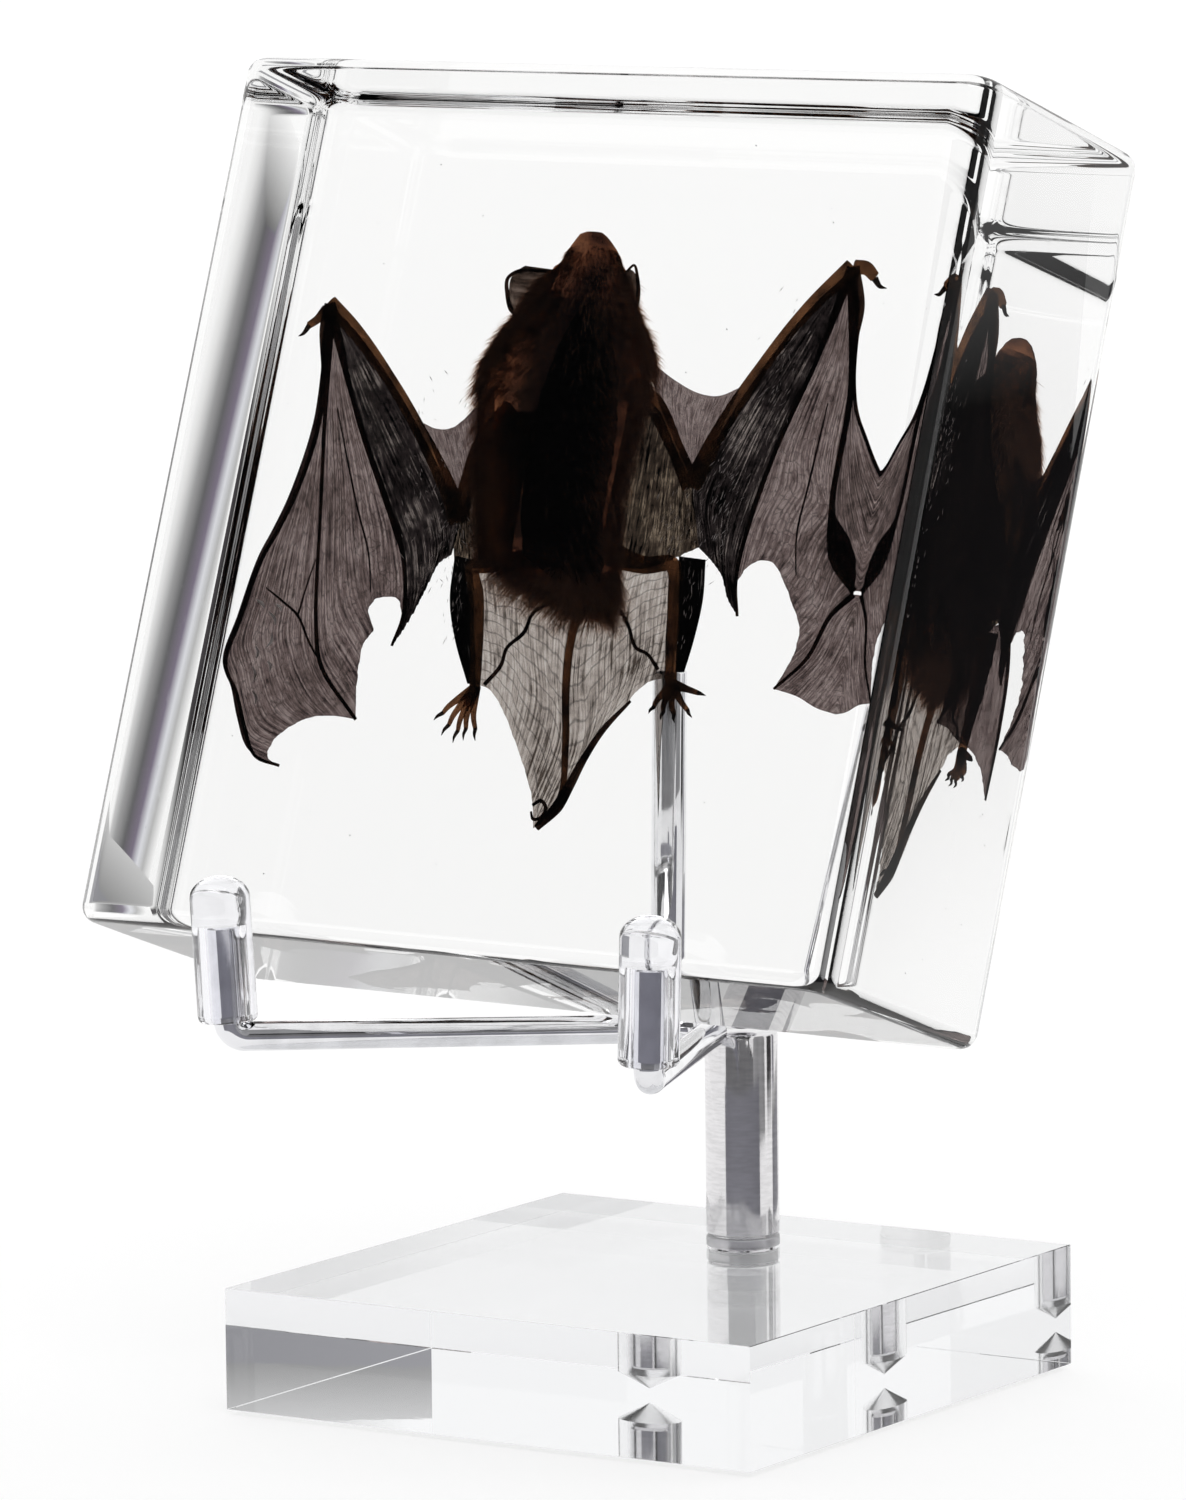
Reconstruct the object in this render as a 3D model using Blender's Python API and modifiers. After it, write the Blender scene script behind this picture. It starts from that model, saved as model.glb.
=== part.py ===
import math

import bmesh
import bpy
import numpy as np
from mathutils import Matrix, Vector

# A dried bat cast in a clear resin block, which leans on a wire holder over a clear acrylic base.
# World frame: origin at the centre of the base underside, +Z up, the front of the stand towards -Y.
# Sizes are millimetres here and metres in the model.

MM = 0.001
GAP = 0.3

BASE_SIDE = 75.0
BASE_THICK = 15.0
HOLE_RADIUS = 4.3
HOLE_FLOOR = 2.9
HOLE_TIP = 0.9

POST_X = 2.7
POST_Y = 16.8
POST_RADIUS = 4.55
POST_TOP = 42.0
SPIGOT_RADIUS = HOLE_RADIUS - GAP
SPIGOT_BOTTOM = 3.6
COLLAR_BOTTOM = BASE_THICK + GAP
COLLAR_TOP = 16.5
POST_SHOULDER = COLLAR_TOP + GAP

WIRE_RADIUS = 1.8
ARM_Z_FRONT = 45.8
ARM_Z_POST = 43.0
BEND_RADIUS = 2.2
LEFT_PRONG = (-36.8, -36.6)
RIGHT_PRONG = (25.4, -39.9)
PRONG_LEAN = -1.2
FORK_APEX = (2.3, 12.6)
FORK_BEND = 4.0
PRONG_TOP = 59.0

SLEEVE_RADIUS = 3.65
SLEEVE_BORE = WIRE_RADIUS + GAP
SLEEVE_BOTTOM = 47.6
SLEEVE_TOP = 65.4
SLEEVE_DOME = 2.6
SLEEVE_FOOT_ROUND = 0.8

ROD_RADIUS = 2.1
ROD_FOOT = (2.7, 16.8, POST_TOP + GAP)
ROD_TOP = (3.2, 17.5, 83.3)

BLOCK_LEFT = -57.1
BLOCK_RIGHT = 55.0
BLOCK_BELOW = -55.0
BLOCK_ABOVE = 55.6
BLOCK_THICK = 38.0
BLOCK_UPRIGHT_ROUND = 4.25
BLOCK_RIM_ROUND = 2.1
UPRIGHT_STEPS = 6
LATHE_STEPS = 36
BLOCK_LEAN = 19.57
BLOCK_TURN = -3.1
BLOCK_FRONT_EDGE = (-7.94, -34.42, 57.91)

# The bat lies on a plane that runs deeper into the block towards its tail and its right wing tip.
# Its outlines are drawn as seen from the front at another depth, along a line of sight.
BAT_DEPTH = 26.6
BAT_SLOPE = 0.13
BAT_TWIST = 0.08
DRAWN_DEPTH = 27.8
DRAWN_SLOPE = 0.1
SIGHT_RIGHT = -0.414
SIGHT_UP = 0.098
SHEET_HALF = 0.4
POCKET = 0.45
SHEET_ROOM = 1.25
LOCK_LENGTH = 2.4
LOCK_RADIUS = 1.1
BODY_POCKET = 2.7


def clear_scene():
    for old in list(bpy.data.objects):
        bpy.data.objects.remove(old, do_unlink=True)


def new_collection(name):
    made = bpy.data.collections.new(name)
    bpy.context.scene.collection.children.link(made)
    return made


def material(name, colour, roughness, metallic):
    made = bpy.data.materials.new(name)
    made.use_nodes = True
    shader = made.node_tree.nodes["Principled BSDF"]
    shader.inputs["Base Color"].default_value = (*colour, 1.0)
    shader.inputs["Roughness"].default_value = roughness
    shader.inputs["Metallic"].default_value = metallic
    return made


def add_object(name, mesh, collection, surface=None):
    made = bpy.data.objects.new(name, mesh)
    collection.objects.link(made)
    if surface is not None:
        mesh.materials.clear()
        mesh.materials.append(surface)
    return made


def realised(obj, name):
    """The object's shape as a plain mesh, with the modifiers and the curve bevel applied."""
    graph = bpy.context.evaluated_depsgraph_get()
    mesh = bpy.data.meshes.new_from_object(obj.evaluated_get(graph), depsgraph=graph)
    mesh.transform(obj.matrix_world)
    mesh.name = name
    mesh.materials.clear()
    shape = bmesh.new()
    shape.from_mesh(mesh)
    bmesh.ops.remove_doubles(shape, verts=shape.verts, dist=0.000002)
    bmesh.ops.recalc_face_normals(shape, faces=shape.faces)
    shape.to_mesh(mesh)
    shape.free()
    bpy.data.objects.remove(obj, do_unlink=True)
    return mesh


def boolean(target, other, operation):
    """Applies one exact Boolean to the target and removes the other object."""
    step = target.modifiers.new(operation.lower(), "BOOLEAN")
    step.operation = operation
    step.solver = "EXACT"
    step.object = other
    name = target.name
    collection = target.users_collection[0]
    surfaces = [slot for slot in target.data.materials]
    mesh = realised(target, name)
    bpy.data.objects.remove(other, do_unlink=True)
    made = add_object(name, mesh, collection)
    for surface in surfaces:
        mesh.materials.append(surface)
    return made


def lathe(name, profile, steps):
    """A solid turned about the Z axis from (radius, height) points that run from the top down."""
    mesh = bpy.data.meshes.new(name)
    points = [(radius * MM, 0.0, height * MM) for radius, height in profile]
    mesh.from_pydata(points, [(i, i + 1) for i in range(len(points) - 1)], [])
    turned = add_object(name, mesh, WORK)
    screw = turned.modifiers.new("turn", "SCREW")
    screw.steps = steps
    screw.render_steps = steps
    screw.use_merge_vertices = True
    screw.merge_threshold = 0.00001
    screw.use_normal_calculate = True
    return realised(turned, name)


def tube(name, path, radii, sides):
    """A round bar along a path of (x, y, z) points, with a radius factor at each point."""
    curve = bpy.data.curves.new(name, "CURVE")
    curve.dimensions = "3D"
    curve.bevel_mode = "ROUND"
    curve.bevel_depth = MM
    curve.bevel_resolution = sides
    curve.use_fill_caps = True
    spline = curve.splines.new("POLY")
    spline.points.add(len(path) - 1)
    for point, place, radius in zip(spline.points, path, radii):
        point.co = (place[0] * MM, place[1] * MM, place[2] * MM, 1.0)
        point.radius = radius
    return realised(add_object(name, curve, WORK), name)


def plate(name, outline, half):
    """A flat plate from a closed outline, with its middle at height zero."""
    curve = bpy.data.curves.new(name, "CURVE")
    curve.dimensions = "2D"
    curve.fill_mode = "BOTH"
    curve.extrude = half * MM
    spline = curve.splines.new("POLY")
    spline.points.add(len(outline) - 1)
    for point, (x, y) in zip(spline.points, outline):
        point.co = (x * MM, y * MM, 0.0, 1.0)
    spline.use_cyclic_u = True
    return realised(add_object(name, curve, WORK), name)


def grown(outline, amount):
    """The outline moved outward by the amount, with long mitres cut short."""
    points = np.array(outline)
    if amount == 0:
        return outline
    following = np.roll(points, -1, axis=0)
    area = np.sum(points[:, 0] * following[:, 1] - following[:, 0] * points[:, 1])
    along = following - points
    along /= np.linalg.norm(along, axis=1)[:, None]
    normal = np.stack([along[:, 1], -along[:, 0]], axis=1) * np.sign(area)
    before = np.roll(normal, 1, axis=0)
    mitre = normal + before
    size = np.maximum(np.sum(mitre * mitre, axis=1), 0.8)
    return [tuple(p) for p in points + mitre * (2 * amount / size)[:, None]]


def block_place():
    """From the block's own frame (x right, y into the block, z up) to the world."""
    lean = Matrix.Rotation(math.radians(-BLOCK_LEAN), 4, "X")
    turn = Matrix.Rotation(math.radians(BLOCK_TURN), 4, "Z")
    move = Matrix.Translation(Vector(BLOCK_FRONT_EDGE) * MM)
    return move @ turn @ lean @ Matrix.Translation((0, 0, -BLOCK_BELOW * MM))


def bat_place():
    """From the bat's own sheet (x right, y towards the head, z towards the front) to the block's frame.

    A point that lies deeper than it is drawn moves along the line of sight.
    """
    deeper = BAT_DEPTH - DRAWN_DEPTH
    steeper = DRAWN_SLOPE - BAT_SLOPE
    return Matrix(
        (
            (1 + SIGHT_RIGHT * BAT_TWIST, SIGHT_RIGHT * steeper, 0, SIGHT_RIGHT * deeper * MM),
            (BAT_TWIST, -BAT_SLOPE, -1, BAT_DEPTH * MM),
            (SIGHT_UP * BAT_TWIST, 1 + SIGHT_UP * steeper, 0, SIGHT_UP * deeper * MM),
            (0, 0, 0, 1),
        )
    )


# Wing outlines, left and right as seen from the front, in the bat's sheet.

LEFT_WING = [
    (-46.6, 27.2), (-46.1, 24.3), (-45.0, 18.0), (-44.6, 12.0), (-45.0, 8.0), (-46.6, 2.0),
    (-48.3, -2.0), (-50.1, -5.5), (-51.9, -13.0), (-53.0, -18.9), (-50.6, -22.5), (-48.6, -26.5),
    (-46.0, -30.2), (-42.0, -31.0), (-43.8, -28.2), (-41.5, -26.2), (-38.5, -24.7), (-31.4, -24.6),
    (-32.3, -20.0), (-32.2, -15.0), (-31.1, -13.2), (-32.2, -10.0), (-30.0, -9.1), (-27.9, -9.3),
    (-27.0, -12.0), (-27.9, -15.1), (-25.7, -12.0), (-23.8, -8.0), (-22.6, -4.2), (-21.0, -3.3),
    (-16.5, -4.5), (-13.0, 0.0), (-13.0, 17.0), (-19.5, 17.0), (-21.6, 14.2), (-24.0, 12.3),
    (-26.5, 12.1), (-28.6, 13.2), (-34.6, 19.0), (-44.0, 28.0),
]

RIGHT_WING = [
    (30.0, 35.0), (25.4, 29.5), (20.4, 22.8), (17.6, 19.0), (15.0, 18.2), (12.0, 18.3),
    (8.5, 19.6), (4.0, 21.0), (0.0, 17.0), (0.0, -2.0), (8.0, -3.0), (15.5, -0.4),
    (17.5, -1.8), (19.6, -3.8), (20.8, -6.5), (22.8, -8.4), (21.8, -5.0), (22.2, -3.2),
    (24.0, -1.6), (26.5, -1.7), (28.4, -3.6), (30.3, -6.5), (31.8, -9.0), (31.8, -12.0),
    (29.2, -16.9), (33.0, -17.6), (36.0, -18.8), (40.0, -19.7), (43.5, -21.6), (46.5, -25.6),
    (48.3, -17.0), (48.8, -10.0), (47.6, -3.0), (45.2, 2.5), (42.2, 7.0), (39.2, 11.0),
    (37.2, 14.0), (35.4, 17.0), (34.2, 21.0), (33.6, 26.0), (33.6, 33.0),
]

TAIL_SHEET = [
    (-13.0, -3.0), (-20.4, -3.6), (-20.2, -8.9), (-18.5, -13.7), (-15.7, -18.7), (-12.2, -19.5),
    (-9.5, -22.0), (-7.5, -25.0), (-5.0, -29.0), (-3.2, -32.5), (-2.6, -36.2), (0.3, -34.4),
    (2.0, -31.0), (4.5, -25.2), (8.0, -20.7), (10.8, -17.4), (16.2, -15.8), (16.9, -11.6),
    (17.3, -6.7), (16.8, -1.9), (13.5, -2.5), (5.0, -2.0),
]

LEFT_EAR = [
    (-11.0, 32.4), (-15.0, 32.4), (-17.7, 32.3), (-18.9, 31.0), (-18.5, 29.4), (-17.6, 27.8),
    (-13.0, 27.5),
]

RIGHT_EAR = [(-1.8, 31.0), (-0.2, 33.5), (0.8, 32.0), (1.4, 28.4), (-1.5, 27.0)]

# Bones and digits as (x, y, lift, radius) points: arm, then digits three, four and five.

LEFT_BONES = {
    "forearm": [(-45.3, 27.2, 0.2, 1.3), (-34.5, 17.8, 0.5, 1.1), (-20.8, 1.5, 0.6, 1.5)],
    "upper_arm": [(-20.6, 1.0, 0.6, 1.4), (-19.2, 8.0, 0.8, 1.3), (-14.0, 15.0, 1.0, 1.8)],
    "digit_3": [
        (-45.5, 26.4, 0.15, 1.0), (-44.9, 14.0, 0.05, 0.7), (-45.4, 7.5, 0.0, 0.7),
        (-47.0, 1.4, 0.0, 0.7), (-50.0, -5.5, 0.0, 0.75),
        (-52.8, -18.7, 0.0, 0.6), (-46.4, -29.6, 0.0, 0.55),
    ],
    "digit_4": [
        (-45.2, 26.0, 0.0, 0.9), (-42.2, 2.0, 0.0, 0.65), (-38.2, -18.2, 0.0, 0.7),
        (-31.9, -24.1, 0.0, 0.5),
    ],
    "digit_5": [
        (-44.8, 26.0, 0.0, 0.9), (-38.0, 12.0, 0.3, 0.8), (-28.2, -3.5, 0.3, 0.8),
        (-26.7, -11.0, 0.1, 0.6), (-27.6, -14.4, 0.0, 0.5),
    ],
    "thumb": [(-45.7, 26.1, 0.35, 1.0), (-47.6, 24.4, 0.2, 0.6), (-49.8, 22.9, 0.2, 0.45)],
    "leg": [
        (-8.0, -3.0, 0.4, 1.8), (-17.6, -4.5, 0.3, 1.2), (-15.6, -11.0, 0.2, 1.0),
        (-14.2, -20.2, 0.0, 0.9),
    ],
}

RIGHT_BONES = {
    "forearm": [(31.3, 34.8, 0.2, 1.3), (21.2, 21.8, 0.5, 1.1), (13.2, 7.0, 0.6, 1.5)],
    "upper_arm": [(13.0, 6.6, 0.6, 1.4), (8.5, 13.5, 0.8, 1.3), (2.0, 18.0, 1.0, 1.8)],
    "digit_3": [
        (32.2, 34.0, 0.0, 1.0), (33.8, 23.0, 0.0, 0.6), (36.3, 15.2, 0.0, 0.6), (39.0, 11.0, 0.0, 0.6),
        (48.2, -6.0, 0.0, 0.6), (46.6, -24.2, 0.0, 0.55),
    ],
    "digit_4": [
        (31.8, 34.0, 0.0, 0.9), (34.0, 4.0, 0.0, 0.65), (38.6, -5.0, 0.0, 0.7),
        (29.9, -16.4, 0.0, 0.5),
    ],
    "digit_5": [
        (31.4, 34.0, 0.0, 0.9), (26.5, 18.0, 0.3, 0.8), (22.3, 3.0, 0.3, 0.8),
        (22.4, -7.4, 0.0, 0.5),
    ],
    "thumb": [(32.0, 34.4, 0.2, 1.1), (35.0, 33.4, 0.2, 0.9), (36.7, 32.3, 0.2, 0.45)],
    "leg": [
        (3.0, -2.0, 0.4, 1.8), (14.0, -2.2, 0.3, 1.2), (15.2, -9.0, 0.2, 1.2),
        (14.8, -17.6, 0.0, 1.0),
    ],
}

LEFT_ANKLE = (-15.0, -19.8)
RIGHT_ANKLE = (14.8, -17.2)
LEFT_TOES = [(-19.8, -23.8), (-18.3, -25.6), (-16.4, -26.4), (-14.9, -26.0), (-13.1, -25.9)]
RIGHT_TOES = [(19.8, -18.2), (18.3, -21.0), (15.9, -21.8), (13.8, -21.6), (11.9, -20.9)]
TAIL_BONE = [
    (0.5, -7.0, 0.4, 1.4), (-1.0, -14.0, 0.3, 0.9), (0.0, -23.0, 0.2, 0.8),
    (0.2, -33.4, 0.1, 0.6),
]

# Body sections from tail to muzzle: height, left side, right side, half depth, lift.

BODY = [
    (-8.6, -1.5, 2.5, 1.2, 0.3),
    (-6.5, -8.0, 4.2, 2.6, 0.8),
    (-3.5, -15.0, 6.0, 3.8, 1.6),
    (1.0, -17.6, 7.0, 4.8, 2.4),
    (7.0, -18.0, 6.6, 5.6, 3.0),
    (13.0, -18.3, 6.0, 6.0, 3.2),
    (19.0, -18.6, 5.6, 6.1, 3.0),
    (24.0, -17.6, 4.4, 5.8, 2.4),
    (28.0, -15.2, 1.6, 5.4, 1.4),
    (31.0, -11.8, -0.8, 5.0, 0.9),
    (34.0, -10.0, -2.6, 4.2, 0.7),
    (36.2, -8.8, -3.9, 2.8, 0.7),
    (37.4, -7.6, -5.2, 1.2, 0.8),
]
BODY_SIDES = 16


def body_mesh(name, growth):
    """The body as a loft of ellipses, closed by a fan at each end."""
    turn = np.arange(BODY_SIDES) * 2 * np.pi / BODY_SIDES
    rings = []
    for index, (height, left, right, half, lift) in enumerate(BODY):
        ends = (index == len(BODY) - 1) - (index == 0)
        x = (left + right) / 2 + ((right - left) / 2 + growth) * np.cos(turn)
        z = lift + (half + growth) * np.sin(turn)
        y = np.full(BODY_SIDES, height + ends * growth)
        rings.append(np.stack([x, y, z], axis=1))
    points = np.concatenate(rings) * MM
    faces = []
    for ring in range(len(BODY) - 1):
        for side in range(BODY_SIDES):
            a = ring * BODY_SIDES + side
            b = ring * BODY_SIDES + (side + 1) % BODY_SIDES
            faces.append((a, b, b + BODY_SIDES, a + BODY_SIDES))
    faces.append(tuple(range(BODY_SIDES)))
    faces.append(tuple(range(len(points) - BODY_SIDES, len(points))))
    mesh = bpy.data.meshes.new(name)
    mesh.from_pydata(points.tolist(), [], faces)
    return realised(add_object(name, mesh, WORK), name)


def lock_meshes():
    """Locks of fur: thin cones rooted in the body that point out and towards the tail."""
    turns = [0.1, 0.95, 2.1, 3.0, 3.7, 5.1]
    made = []
    for ring in range(3, len(BODY) - 4):
        height, left, right, half, lift = BODY[ring]
        for number, turn in enumerate(turns):
            angle = turn + 0.25 * math.sin(2.1 * ring + number)
            reach = 1.0 + 0.25 * math.sin(3.7 * ring + 1.9 * number)
            root = Vector(
                (
                    (left + right) / 2 + ((right - left) / 2 - 0.9) * math.cos(angle),
                    height + 1.2 * math.sin(1.3 * ring + 2.3 * number),
                    lift + (half - 0.9) * math.sin(angle),
                )
            )
            out = Vector((math.cos(angle), -0.45, math.sin(angle))).normalized()
            tip = root + out * (LOCK_LENGTH * reach)
            name = f"lock_{ring}_{number}"
            made.append(tube(name, [root, tip], [LOCK_RADIUS, 0.12], 0))
    return made


def foot_meshes(ankle, toes, side):
    made = []
    for number, (x, y) in enumerate(toes):
        way = Vector((x - ankle[0], y - ankle[1], 0.0)).normalized()
        heel = Vector((*ankle, 0.0)) - way * (0.5 + 0.07 * number)
        knuckle = (ankle[0] * 0.45 + x * 0.55, ankle[1] * 0.45 + y * 0.55, 0.5)
        path = [heel, knuckle, (x, y, -0.1)]
        made.append(tube(f"{side}_toe_{number}", path, [0.75, 0.5, 0.32], 0))
    return made


def bone_mesh(name, points, growth):
    """One bone as a tapering bar. With growth it is a longer square bar that holds the round one."""
    path = [Vector(point[:3]) for point in points]
    path[0] += (path[0] - path[1]).normalized() * growth
    path[-1] += (path[-1] - path[-2]).normalized() * growth
    if growth:
        return tube(name, path, [(point[3] + growth) * math.sqrt(2) for point in points], 0)
    return tube(name, path, [point[3] for point in points], 1)


def sheet_meshes(growth, half):
    outlines = {
        "left_wing": LEFT_WING,
        "right_wing": RIGHT_WING,
        "tail_sheet": TAIL_SHEET,
        "left_ear": LEFT_EAR,
        "right_ear": RIGHT_EAR,
    }
    return [plate(name, grown(outline, growth), half) for name, outline in outlines.items()]


def bat_meshes():
    """All the pieces of the bat, each closed and running into its neighbours."""
    made = [body_mesh("body", 0.0)] + sheet_meshes(0.0, SHEET_HALF)
    for side, bones in (("left", LEFT_BONES), ("right", RIGHT_BONES)):
        made += [bone_mesh(f"{side}_{name}", points, 0.0) for name, points in bones.items()]
    made += foot_meshes(LEFT_ANKLE, LEFT_TOES, "left")
    made += foot_meshes(RIGHT_ANKLE, RIGHT_TOES, "right")
    made.append(bone_mesh("tail", TAIL_BONE, 0.0))
    return made + lock_meshes()


def pocket_meshes():
    """A plain shape that holds the whole bat with room around it."""
    made = [body_mesh("body_room", BODY_POCKET)] + sheet_meshes(SHEET_ROOM, SHEET_ROOM)
    for side, bones in (("left", LEFT_BONES), ("right", RIGHT_BONES)):
        for name in ("forearm", "upper_arm", "leg"):
            made.append(bone_mesh(f"{side}_{name}_room", bones[name], POCKET))
        made.append(bone_mesh(f"{side}_thumb_room", bones["thumb"], POCKET))
    made.append(bone_mesh("tail_room", TAIL_BONE, POCKET))
    for ankle, toes in ((LEFT_ANKLE, LEFT_TOES), (RIGHT_ANKLE, RIGHT_TOES)):
        made.append(plate("foot_room", grown([ankle] + toes, SHEET_ROOM), SHEET_ROOM))
    return made


def fused(name, meshes, collection):
    """One solid from closed meshes that run into each other, by one exact union of them all."""
    others = bpy.data.collections.new("others")
    WORK.children.link(others)
    for mesh in meshes[1:]:
        add_object("next", mesh, others)
    whole = add_object(name, meshes[0], collection)
    step = whole.modifiers.new("union", "BOOLEAN")
    step.operation = "UNION"
    step.solver = "EXACT"
    step.operand_type = "COLLECTION"
    step.collection = others
    mesh = realised(whole, name)
    for other in list(others.objects):
        bpy.data.objects.remove(other, do_unlink=True)
    bpy.data.collections.remove(others)
    return add_object(name, mesh, collection)


def tidy(obj):
    """Merges points that the Booleans left almost together and clears slivers."""
    shape = bmesh.new()
    shape.from_mesh(obj.data)
    bmesh.ops.remove_doubles(shape, verts=shape.verts, dist=0.000002)
    bmesh.ops.dissolve_degenerate(shape, edges=shape.edges, dist=0.000001)
    bmesh.ops.triangulate(shape, faces=shape.faces)
    bmesh.ops.recalc_face_normals(shape, faces=shape.faces)
    shape.to_mesh(obj.data)
    shape.free()


def make_bat():
    bat = fused("bat", bat_meshes(), PARTS)
    bat.data.transform(block_place() @ bat_place())
    tidy(bat)
    bat.data.materials.append(BAT_SKIN)


def rounded_block(name):
    """The whole block in its own frame, with its front face at depth zero."""
    left = BLOCK_LEFT + BLOCK_UPRIGHT_ROUND
    right = BLOCK_RIGHT - BLOCK_UPRIGHT_ROUND
    near = BLOCK_UPRIGHT_ROUND
    far = BLOCK_THICK - BLOCK_UPRIGHT_ROUND
    corners = [(right, far, 0), (left, far, 90), (left, near, 180), (right, near, 270)]
    curve = bpy.data.curves.new(name, "CURVE")
    curve.dimensions = "2D"
    curve.fill_mode = "BOTH"
    curve.extrude = ((BLOCK_ABOVE - BLOCK_BELOW) / 2 - BLOCK_RIM_ROUND) * MM
    curve.bevel_depth = BLOCK_RIM_ROUND * MM
    curve.offset = -BLOCK_RIM_ROUND * MM
    curve.bevel_resolution = 2
    spline = curve.splines.new("POLY")
    spline.points.add(4 * (UPRIGHT_STEPS + 1) - 1)
    place = 0
    for x, y, first in corners:
        for step in range(UPRIGHT_STEPS + 1):
            angle = math.radians(first + 90 * step / UPRIGHT_STEPS)
            point_x = x + BLOCK_UPRIGHT_ROUND * math.cos(angle)
            point_y = y + BLOCK_UPRIGHT_ROUND * math.sin(angle)
            spline.points[place].co = (point_x * MM, point_y * MM, 0.0, 1.0)
            place += 1
    spline.use_cyclic_u = True
    mesh = realised(add_object(name, curve, WORK), name)
    mesh.transform(Matrix.Translation((0, 0, (BLOCK_ABOVE + BLOCK_BELOW) / 2 * MM)))
    return mesh


def half_space(name, front):
    """A large box in the bat's sheet, on one side of the parting plane and half a gap away from it."""
    mesh = bpy.data.meshes.new(name)
    shape = bmesh.new()
    bmesh.ops.create_cube(shape, size=200 * MM)
    side = 1 if front else -1
    bmesh.ops.translate(shape, vec=(0, 0, side * (100 + GAP / 2) * MM), verts=shape.verts)
    shape.to_mesh(mesh)
    shape.free()
    mesh.transform(bat_place())
    return mesh


def make_resin():
    pocket = fused("pocket", pocket_meshes(), WORK)
    pocket.data.transform(bat_place())
    tidy(pocket)
    for name, front in (("resin_front", True), ("resin_back", False)):
        part = add_object(name, rounded_block(name), PARTS)
        part = boolean(part, add_object("side", half_space("side", front), WORK), "INTERSECT")
        part = boolean(part, add_object("cut", pocket.data.copy(), WORK), "DIFFERENCE")
        part.data.transform(block_place())
        tidy(part)
        part.data.materials.clear()
        part.data.materials.append(RESIN)
    bpy.data.objects.remove(pocket, do_unlink=True)


def make_base():
    mesh = bpy.data.meshes.new("acrylic_base")
    shape = bmesh.new()
    bmesh.ops.create_cube(shape, size=1.0)
    bmesh.ops.scale(shape, vec=(BASE_SIDE * MM, BASE_SIDE * MM, BASE_THICK * MM), verts=shape.verts)
    bmesh.ops.translate(shape, vec=(0, 0, BASE_THICK / 2 * MM), verts=shape.verts)
    shape.to_mesh(mesh)
    shape.free()
    base = add_object("acrylic_base", mesh, PARTS)
    above = BASE_THICK + 2
    drill = lathe(
        "drill", [(0, above), (HOLE_RADIUS, above), (HOLE_RADIUS, HOLE_FLOOR), (0, HOLE_TIP)], LATHE_STEPS
    )
    drill.transform(Matrix.Translation((POST_X * MM, POST_Y * MM, 0)))
    base = boolean(base, add_object("drill", drill, WORK), "DIFFERENCE")
    base.data.materials.append(ACRYLIC)


def make_collar():
    ring = lathe(
        "post_collar",
        [
            (HOLE_RADIUS, COLLAR_TOP),
            (POST_RADIUS, COLLAR_TOP),
            (POST_RADIUS, COLLAR_BOTTOM),
            (HOLE_RADIUS, COLLAR_BOTTOM),
            (HOLE_RADIUS, COLLAR_TOP),
        ],
        LATHE_STEPS,
    )
    ring.transform(Matrix.Translation((POST_X * MM, POST_Y * MM, 0)))
    add_object("post_collar", ring, PARTS, ACRYLIC)


def make_post():
    post = lathe(
        "support_post",
        [
            (0, POST_TOP),
            (POST_RADIUS - 0.3, POST_TOP),
            (POST_RADIUS, POST_TOP - 0.3),
            (POST_RADIUS, POST_SHOULDER),
            (SPIGOT_RADIUS, POST_SHOULDER),
            (SPIGOT_RADIUS, SPIGOT_BOTTOM),
            (0, SPIGOT_BOTTOM),
        ],
        LATHE_STEPS,
    )
    post.transform(Matrix.Translation((POST_X * MM, POST_Y * MM, 0)))
    add_object("support_post", post, PARTS, STEEL)


def rounded_path(corners, radii, steps):
    """The path through the corners, with an arc of the given radius at each inner corner."""
    points = [Vector(corners[0])]
    for index in range(1, len(corners) - 1):
        corner = Vector(corners[index])
        back = (Vector(corners[index - 1]) - corner).normalized()
        ahead = (Vector(corners[index + 1]) - corner).normalized()
        half = back.angle(ahead) / 2
        radius = radii[index - 1]
        centre = corner + (back + ahead).normalized() * (radius / math.sin(half))
        start = corner + back * (radius / math.tan(half)) - centre
        end = corner + ahead * (radius / math.tan(half)) - centre
        whole = start.angle(end)
        for step in range(steps + 1):
            part = step / steps
            bend = start * math.sin((1 - part) * whole) + end * math.sin(part * whole)
            points.append(centre + bend / math.sin(whole))
    points.append(Vector(corners[-1]))
    return points


def prong_top(prong, lean):
    return (prong[0] + lean * (PRONG_TOP - ARM_Z_FRONT) / 19.0, prong[1], PRONG_TOP)


def make_fork():
    corners = [
        prong_top(LEFT_PRONG, PRONG_LEAN),
        (*LEFT_PRONG, ARM_Z_FRONT),
        (*FORK_APEX, ARM_Z_POST),
        (*RIGHT_PRONG, ARM_Z_FRONT),
        prong_top(RIGHT_PRONG, -PRONG_LEAN / 2),
    ]
    path = rounded_path(corners, [BEND_RADIUS, FORK_BEND, BEND_RADIUS], 6)
    wire = tube("wire_fork", path, [WIRE_RADIUS] * len(path), 4)
    add_object("wire_fork", wire, PARTS, CHROME)


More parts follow.
